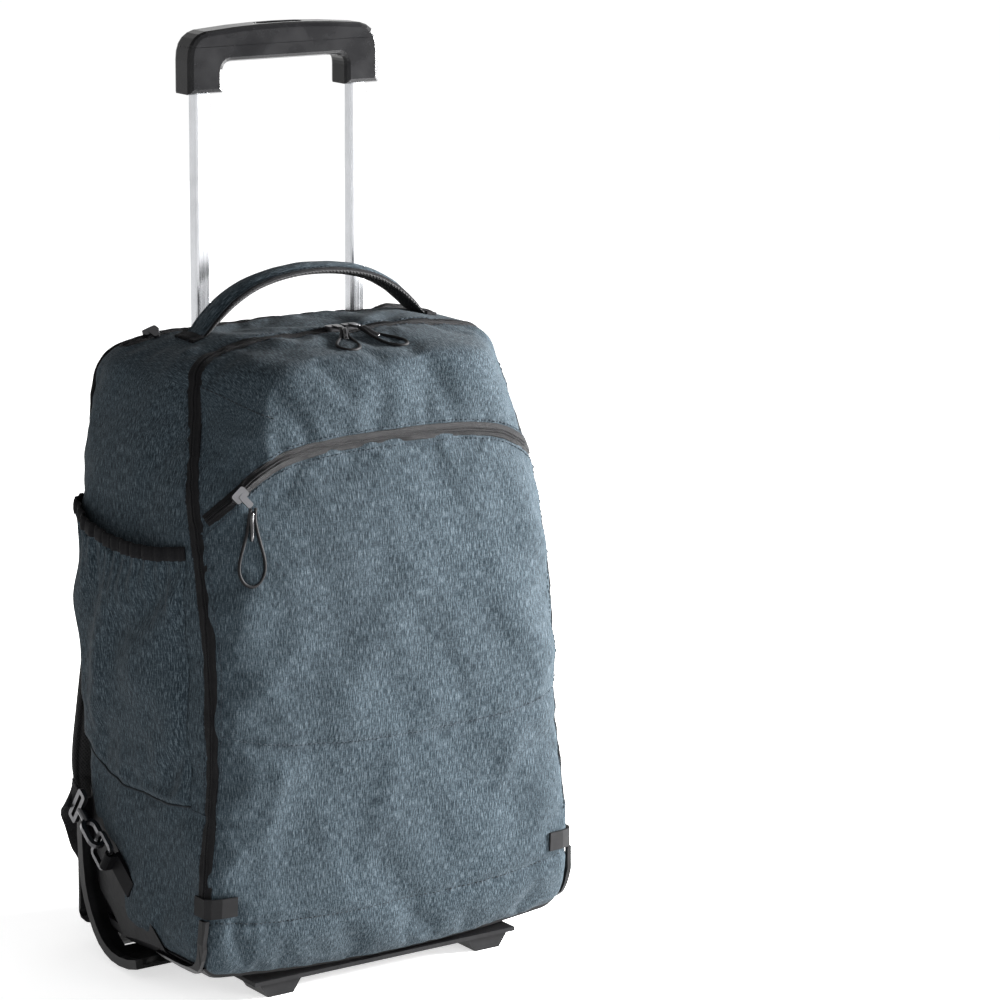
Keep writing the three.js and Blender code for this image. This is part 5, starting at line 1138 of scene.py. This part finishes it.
def make_strap(tag):
    rows = STRAPS[tag]
    centres = spline([row[0] for row in rows], 14)
    ways = spline([row[1] for row in rows], 14)
    sizes = spline([(row[2], row[3], 0) for row in rows], 14)
    section = full_section(PAD_SECTION)
    run = lengths(centres)
    middle_seam = run[-1] * 0.47

    def frame_at(k):
        along = heading(centres, k) if k else DOWN
        across = square(ways[k], along)
        away = across.cross(along).normalized()
        return across, -away if away.y < 0 else away

    def pinch(at, share, width):
        return 1 - share * math.exp(-(at / width) ** 2)

    rings = []
    for k, p in enumerate(centres):
        across, away = frame_at(k)
        width, thick = sizes[k].x, sizes[k].y
        slim = pinch(run[k] - middle_seam, 0.42, 3.4)
        slim *= pinch(run[k] - run[-1] + 26, 0.35, 3.0)
        slim *= pinch(run[k] - 9, 0.35, 3.0)
        ring = []
        for u, h in section:
            spot = p + across * (u * width / 2)
            flow = 0.9 * fold(spot, 24, 2) + 0.5 * fold(spot, 9, 6)
            inner = 1 - abs(u) ** 3
            ring.append(spot + away * (h * thick / 2 * slim + flow * inner * (0.6 if h > 0 else 0.2)))
        rings.append(ring)
    half = len(section) // 2
    strap = loft(f"strap_{tag}", rings, "cloth", [CLOTH, NETTING, TAPE], pad_kind(half, (0, half - 2)), 1)
    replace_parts(strap, f"shoulder_strap_{tag}")
    tree = BVHTree.FromPolygons(*rings_mesh(rings)[:2])
    parts = []

    def sew(places, pitch):
        """Stitches through the places (k, u): number along the strap, and share of its half width."""
        line = []
        for k, u in places:
            spot = centres[k] + frame_at(k)[0] * (u * sizes[k].x / 2)
            line.append(tree.ray_cast(Vector((spot.x, 400, spot.z)), -REARWARD)[0])
        dots = even([p for p in line if p], pitch)
        for a, b in zip(dots, dots[1:]):
            parts.append(stitch_part(a, REARWARD, (b - a).normalized(), STRAP_STITCH))

    for u in (-0.84, 0.84):
        sew([(k, u) for k in range(4, len(centres) - 6)], 4.4)
    for at in (middle_seam + 5, middle_seam - 5, run[-1] - 31):
        k = min(range(len(run)), key=lambda i: abs(run[i] - at))
        sew([(k, u) for u in np.linspace(-0.8, 0.8, 15)], 4.0)
    merged_piece(f"strap_stitches_{tag}", parts, "cloth", BLUE_THREAD)
    # The black patch sewn over the strap's lower end.
    rings = []
    for k, p in enumerate(centres):
        if run[-1] - run[k] <= 30:
            across, away = frame_at(k)
            width, lift = sizes[k].x * 0.92 + 1.5, sizes[k].y / 2 * 1.02
            rings.append([p + across * (u * width / 2) + away * (lift * g + e) for u, g, e in PATCH_SECTION])
    loft(f"strap_patch_{tag}", rings, "coated_cloth", [COATED])


make_strap("left")
make_strap("right")


# Carry handle: places of its middle line, the way out, width and thickness

ARCH = [
    ((-141.2, -1.7, 524), (-0.278, 0, 0.961), 25.8, 4.0), ((-129.4, -1.7, 527.4), (-0.517, 0, 0.856), 28.2, 4.6),
    ((-117.6, -1.7, 538.2), (-0.649, 0, 0.761), 30, 8.8), ((-101, -1.7, 551.5), (-0.54, 0, 0.841), 30, 11),
    ((-79.8, -1.7, 562.5), (-0.349, 0, 0.937), 30, 11), ((-53.8, -1.7, 569.1), (-0.158, 0, 0.988), 30, 11),
    ((-23.2, -1.7, 571.5), (0, 0, 1), 30, 11), ((7.5, -1.7, 569.1), (0.158, 0, 0.988), 30, 11),
    ((33.5, -1.7, 562.5), (0.349, 0, 0.937), 30, 11), ((54.7, -1.7, 551.5), (0.54, 0, 0.841), 30, 11),
    ((71.2, -1.7, 538.2), (0.652, 0, 0.758), 30, 8.8), ((83, -1.7, 527.2), (0.517, 0, 0.856), 28.2, 4.6),
    ((94.8, -1.7, 524), (0.263, 0, 0.965), 25.8, 4.0),
]
HANDLE_SECTION = [
    (-1.0, 0.05), (-0.97, 0.34), (-0.88, 0.52), (-0.74, 0.50), (-0.66, 0.38), (-0.58, 0.62), (-0.42, 0.92),
    (-0.2, 1.04), (0.0, 1.08),
]


def make_carry_handle():
    centres = spline([row[0] for row in ARCH], 10)
    outs = [out.normalized() for out in spline([row[1] for row in ARCH], 10)]
    sizes = spline([(row[2], row[3], 0) for row in ARCH], 10)
    across = REARWARD
    section = full_section(HANDLE_SECTION, 0.75)
    rings = []
    for p, out, size in zip(centres, outs, sizes):
        ring = []
        for u, h in section:
            spot = p + across * (u * size.x / 2)
            flow = 0.5 * fold(spot, 12, 3) * (1 - abs(u) ** 3)
            ring.append(spot + out * (h * size.y / 2 + (flow if h > 0 else 0)))
        rings.append(ring)
    half = len(section) // 2
    kind = pad_kind(half, (0, 1, half - 3, half - 2))
    obj = loft("carry_handle_pad", rings, "cloth", [CLOTH, NETTING, TAPE], kind, 1)
    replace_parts(obj, "carry_handle", "carry_handle_underside")
    parts = []
    for u in (-0.66, 0.66):
        dots = even([
            p + across * (u * size.x / 2) + out * (0.5 * size.y / 2) for p, out, size in zip(centres, outs, sizes)
        ], 4.0)
        for a, b in zip(dots, dots[1:]):
            way = (b - a).normalized()
            normal = across.cross(way).normalized()
            parts.append(stitch_part(a, normal if normal.z > 0 else -normal, way, HANDLE_STITCH, 0.42))
    merged_piece("handle_stitches", parts, "cloth", BLUE_THREAD)
    # Black ends, sewn down flat in three ribs.
    for side, tag in SIDES:
        rings = []
        for share in np.linspace(0, 1, 26):
            x = X0 + side * mix(126, 107, share)
            k = min(range(len(centres)), key=lambda i: abs(centres[i].x - x))
            width, thick = sizes[k].x + 1.6, sizes[k].y
            rib = 0.5 * abs(math.sin(math.pi * 3 * share))
            ring = []
            for u, h in section:
                lift = max(0.62, abs(h)) * (1 if h >= 0 else -1)
                rise = lift * thick / 2 + (rib + 0.5 if h > 0 else -0.3)
                ring.append(centres[k] + across * (u * width / 2) + outs[k] * rise)
            if not rings or (ring[0] - rings[-1][0]).length > 0.2:
                rings.append(ring)
        loft(f"handle_end_{tag}", rings, "zip", [TAPE])


make_carry_handle()


# Webbing

WEBBING_ROUTES = {
    "left": (
        [
            (-210.9, 64.7, 133.2), (-210.9, 71.2, 137.9), (-204.7, 87.9, 125.4), (-188.7, 104.9, 105.6),
            (-174.5, 118, 79.2), (-162, 129.3, 63.4), (-147.8, 138.7, 39.6), (-131.7, 145.3, 19.8),
            (-108.6, 145.3, 13.9), (-83.7, 134.9, 13.9),
        ],
        [
            (0, -0.588, 0.809), (0, -0.588, 0.809), (0.4, 0, 0.6), (0.7, 0, 0.3), (0.9, 0, 0.1), (1, 0, 0),
            (0.8, 0, 0.2), (0.3, 0, 0.7), (0, 0, 1), (0, 0, 1),
        ],
    ),
    "right": (
        [
            (163.7, -12, 40.3), (163.7, -15.9, 33.3), (169.1, -19.2, 30.4), (195.8, -11.7, 19.8), (215.4, 12.7, 14.5),
            (215.4, 50.3, 13.9), (199.3, 86.1, 13.9), (174.4, 114.3, 14.5), (153.1, 131.2, 22.4), (149.5, 134.9, 43.6),
            (161.9, 127.8, 74.9),
        ],
        [
            (0, -0.875, 0.485), (0, -0.875, 0.485), (0.5, 0, 0.5), (0.2, 0, 0.8), (0, 0, 1), (0, 0, 1), (0, 0, 1),
            (0, 0, 1), (0.4, 0, 0.6), (0.8, 0, 0.2), (0.975, -0.02, 0.22),
        ],
    ),
}


WEBBING_HALF, WEBBING_THICK = 12.5, 0.8
WEBBING_SECTION = (
    (-1, -0.5), (-1, 0.5), (-0.9, 1.25), (-0.8, 0.9), (0, 0.95), (0.8, 0.9), (0.9, 1.25), (1, 0.5), (1, -0.5),
    (0.9, -1.25), (0.8, -0.9), (0, -0.95), (-0.8, -0.9), (-0.9, -1.25),
)


def make_webbing(tag):
    points, ways = WEBBING_ROUTES[tag]
    line = spline(points, 10)
    rings = []
    for k, (p, way) in enumerate(zip(line, spline(ways, 10))):
        along = heading(line, k)
        across = square(way, along)
        away = along.cross(across)
        rings.append([
            p + across * (u * WEBBING_HALF) + away * (h * WEBBING_THICK) for u, h in WEBBING_SECTION
        ])
    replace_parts(loft(f"webbing_{tag}", rings, "webbing", [WEBBING]), f"strap_webbing_{tag}")


make_webbing("left")
make_webbing("right")


# Rivets and other hard details

def rivet_part(centre, radius, height):
    across = REARWARD.orthogonal().normalized()
    high = REARWARD.cross(across)
    rings = []
    for share, h in ((1, -0.6), (1, 0.25), (0.93, 0.6), (0.75, 0.85), (0.4, 1.0), (0.12, 1.02)):
        r = share * radius
        rings.append([
            Vector(centre) + REARWARD * (h * height)
            + across * (r * math.cos(2 * math.pi * k / 20)) + high * (r * math.sin(2 * math.pi * k / 20))
            for k in range(20)
        ])
    return loft_part(rings)


def make_rivets():
    parts = []
    for side, tag in SIDES:
        housing = cad_tree((f"wheel_housing_{tag}",))
        for x in (112, 150):
            spot = housing.ray_cast(Vector((X0 + side * x, 300, 107)), -REARWARD)[0]
            if spot is not None:
                parts.append(rivet_part((X0 + side * x, spot.y, 107), 4.2, 1.6))
        parts += [rivet_part(back_at(X0 + side * x, 72), 3.4, 1.4) for x in (28, 79)]
    parts.append(rivet_part(back_at(X0, 72), 3.4, 1.4))
    merged_piece("rivets", parts, "gloss_plastic", GLOSS)


make_rivets()


# CAD nodes that stay get their material here

CAD_LOOKS = (
    (PLASTIC, "base_board base_grip front_skid tube_brace ladder_lock_left ladder_lock_right"),
    (TAPE, "strap_band"),
    (BAND, "side_band_left side_band_right"),
    (RIM, "corner_rim_left corner_rim_right wheel_housing_left wheel_housing_right"),
    (RUBBER, "zip_end_tab_left zip_end_tab_right"),
    (GUNMETAL, "d_ring_left d_ring_right snap_hook_left snap_hook_right main_slider_left main_slider_right"),
    (GUNMETAL, "pocket_slider back_slider"),
    (WEBBING, "d_ring_tab_left d_ring_tab_right"),
    (STEEL, "wheel_axle_left wheel_axle_right"),
    (GLOSS, "wheel_hub_left wheel_hub_right push_button"),
    (TYRE, "wheel_tyre_left wheel_tyre_right"),
    (ALUMINIUM, "outer_tube_left outer_tube_right inner_tube_left inner_tube_right"),
    (GRIP, "grip_body grip_cap"),
)


def dress_nodes():
    for mat, names in CAD_LOOKS:
        for name in names.split():
            obj = nodes[name]
            if not obj.material_slots:
                obj.data.materials.append(mat)
            for place in obj.material_slots:
                place.material = mat


dress_nodes()


# Stage and light

def make_stage():
    size = 4.0
    mesh = bpy.data.meshes.new("floor")
    mesh.from_pydata([(-size, -size, 0), (size, -size, 0), (size, size, 0), (-size, size, 0)], [], [(0, 1, 2, 3)])
    n = Nodes("pale_floor")
    patch = n.noise(n.place("Object", (2, 2, 2)), detail=2.0)
    tone = n.ramp(patch, (0.0, (0.80, 0.80, 0.80)), (1.0, (0.84, 0.84, 0.84)))
    n.done(tone, 0.9, Emission_Color=(1, 1, 1, 1), Emission_Strength=0.62)
    mesh.materials.append(n.mat)
    floor = bpy.data.objects.new("floor", mesh)
    bpy.context.scene.collection.objects.link(floor)


AIM = Vector((0.0, -0.1, 0.3))


def make_light(name, place, size, power):
    data = bpy.data.lights.new(name, "AREA")
    data.energy = power
    data.size = size
    obj = bpy.data.objects.new(name, data)
    obj.location = place
    obj.rotation_euler = (AIM - Vector(place)).to_track_quat("-Z", "Y").to_euler()
    bpy.context.scene.collection.objects.link(obj)


def make_world():
    world = bpy.data.worlds.new("studio")
    world.use_nodes = True
    bpy.context.scene.world = world
    tree = world.node_tree
    background = tree.nodes["Background"]
    coords = tree.nodes.new("ShaderNodeTexCoord")
    split = tree.nodes.new("ShaderNodeSeparateXYZ")
    ramp = tree.nodes.new("ShaderNodeValToRGB")
    for element, at, grey in zip(ramp.color_ramp.elements, (0.3, 0.8), (1, 0.3)):
        element.position = at
        element.color = (grey, grey, grey, 1)
    tree.links.new(coords.outputs["Generated"], split.inputs["Vector"])
    tree.links.new(split.outputs["Z"], ramp.inputs["Fac"])
    tree.links.new(ramp.outputs["Color"], background.inputs["Color"])
    background.inputs["Strength"].default_value = 1.02


make_stage()
make_light("key", (1.85, -0.80, 0.75), 0.6, 370)
make_light("front", (0.5, -2.8, 1.2), 0.9, 16)
make_world()
scene = bpy.context.scene
scene.view_settings.view_transform = "Standard"
scene.view_settings.look = "None"
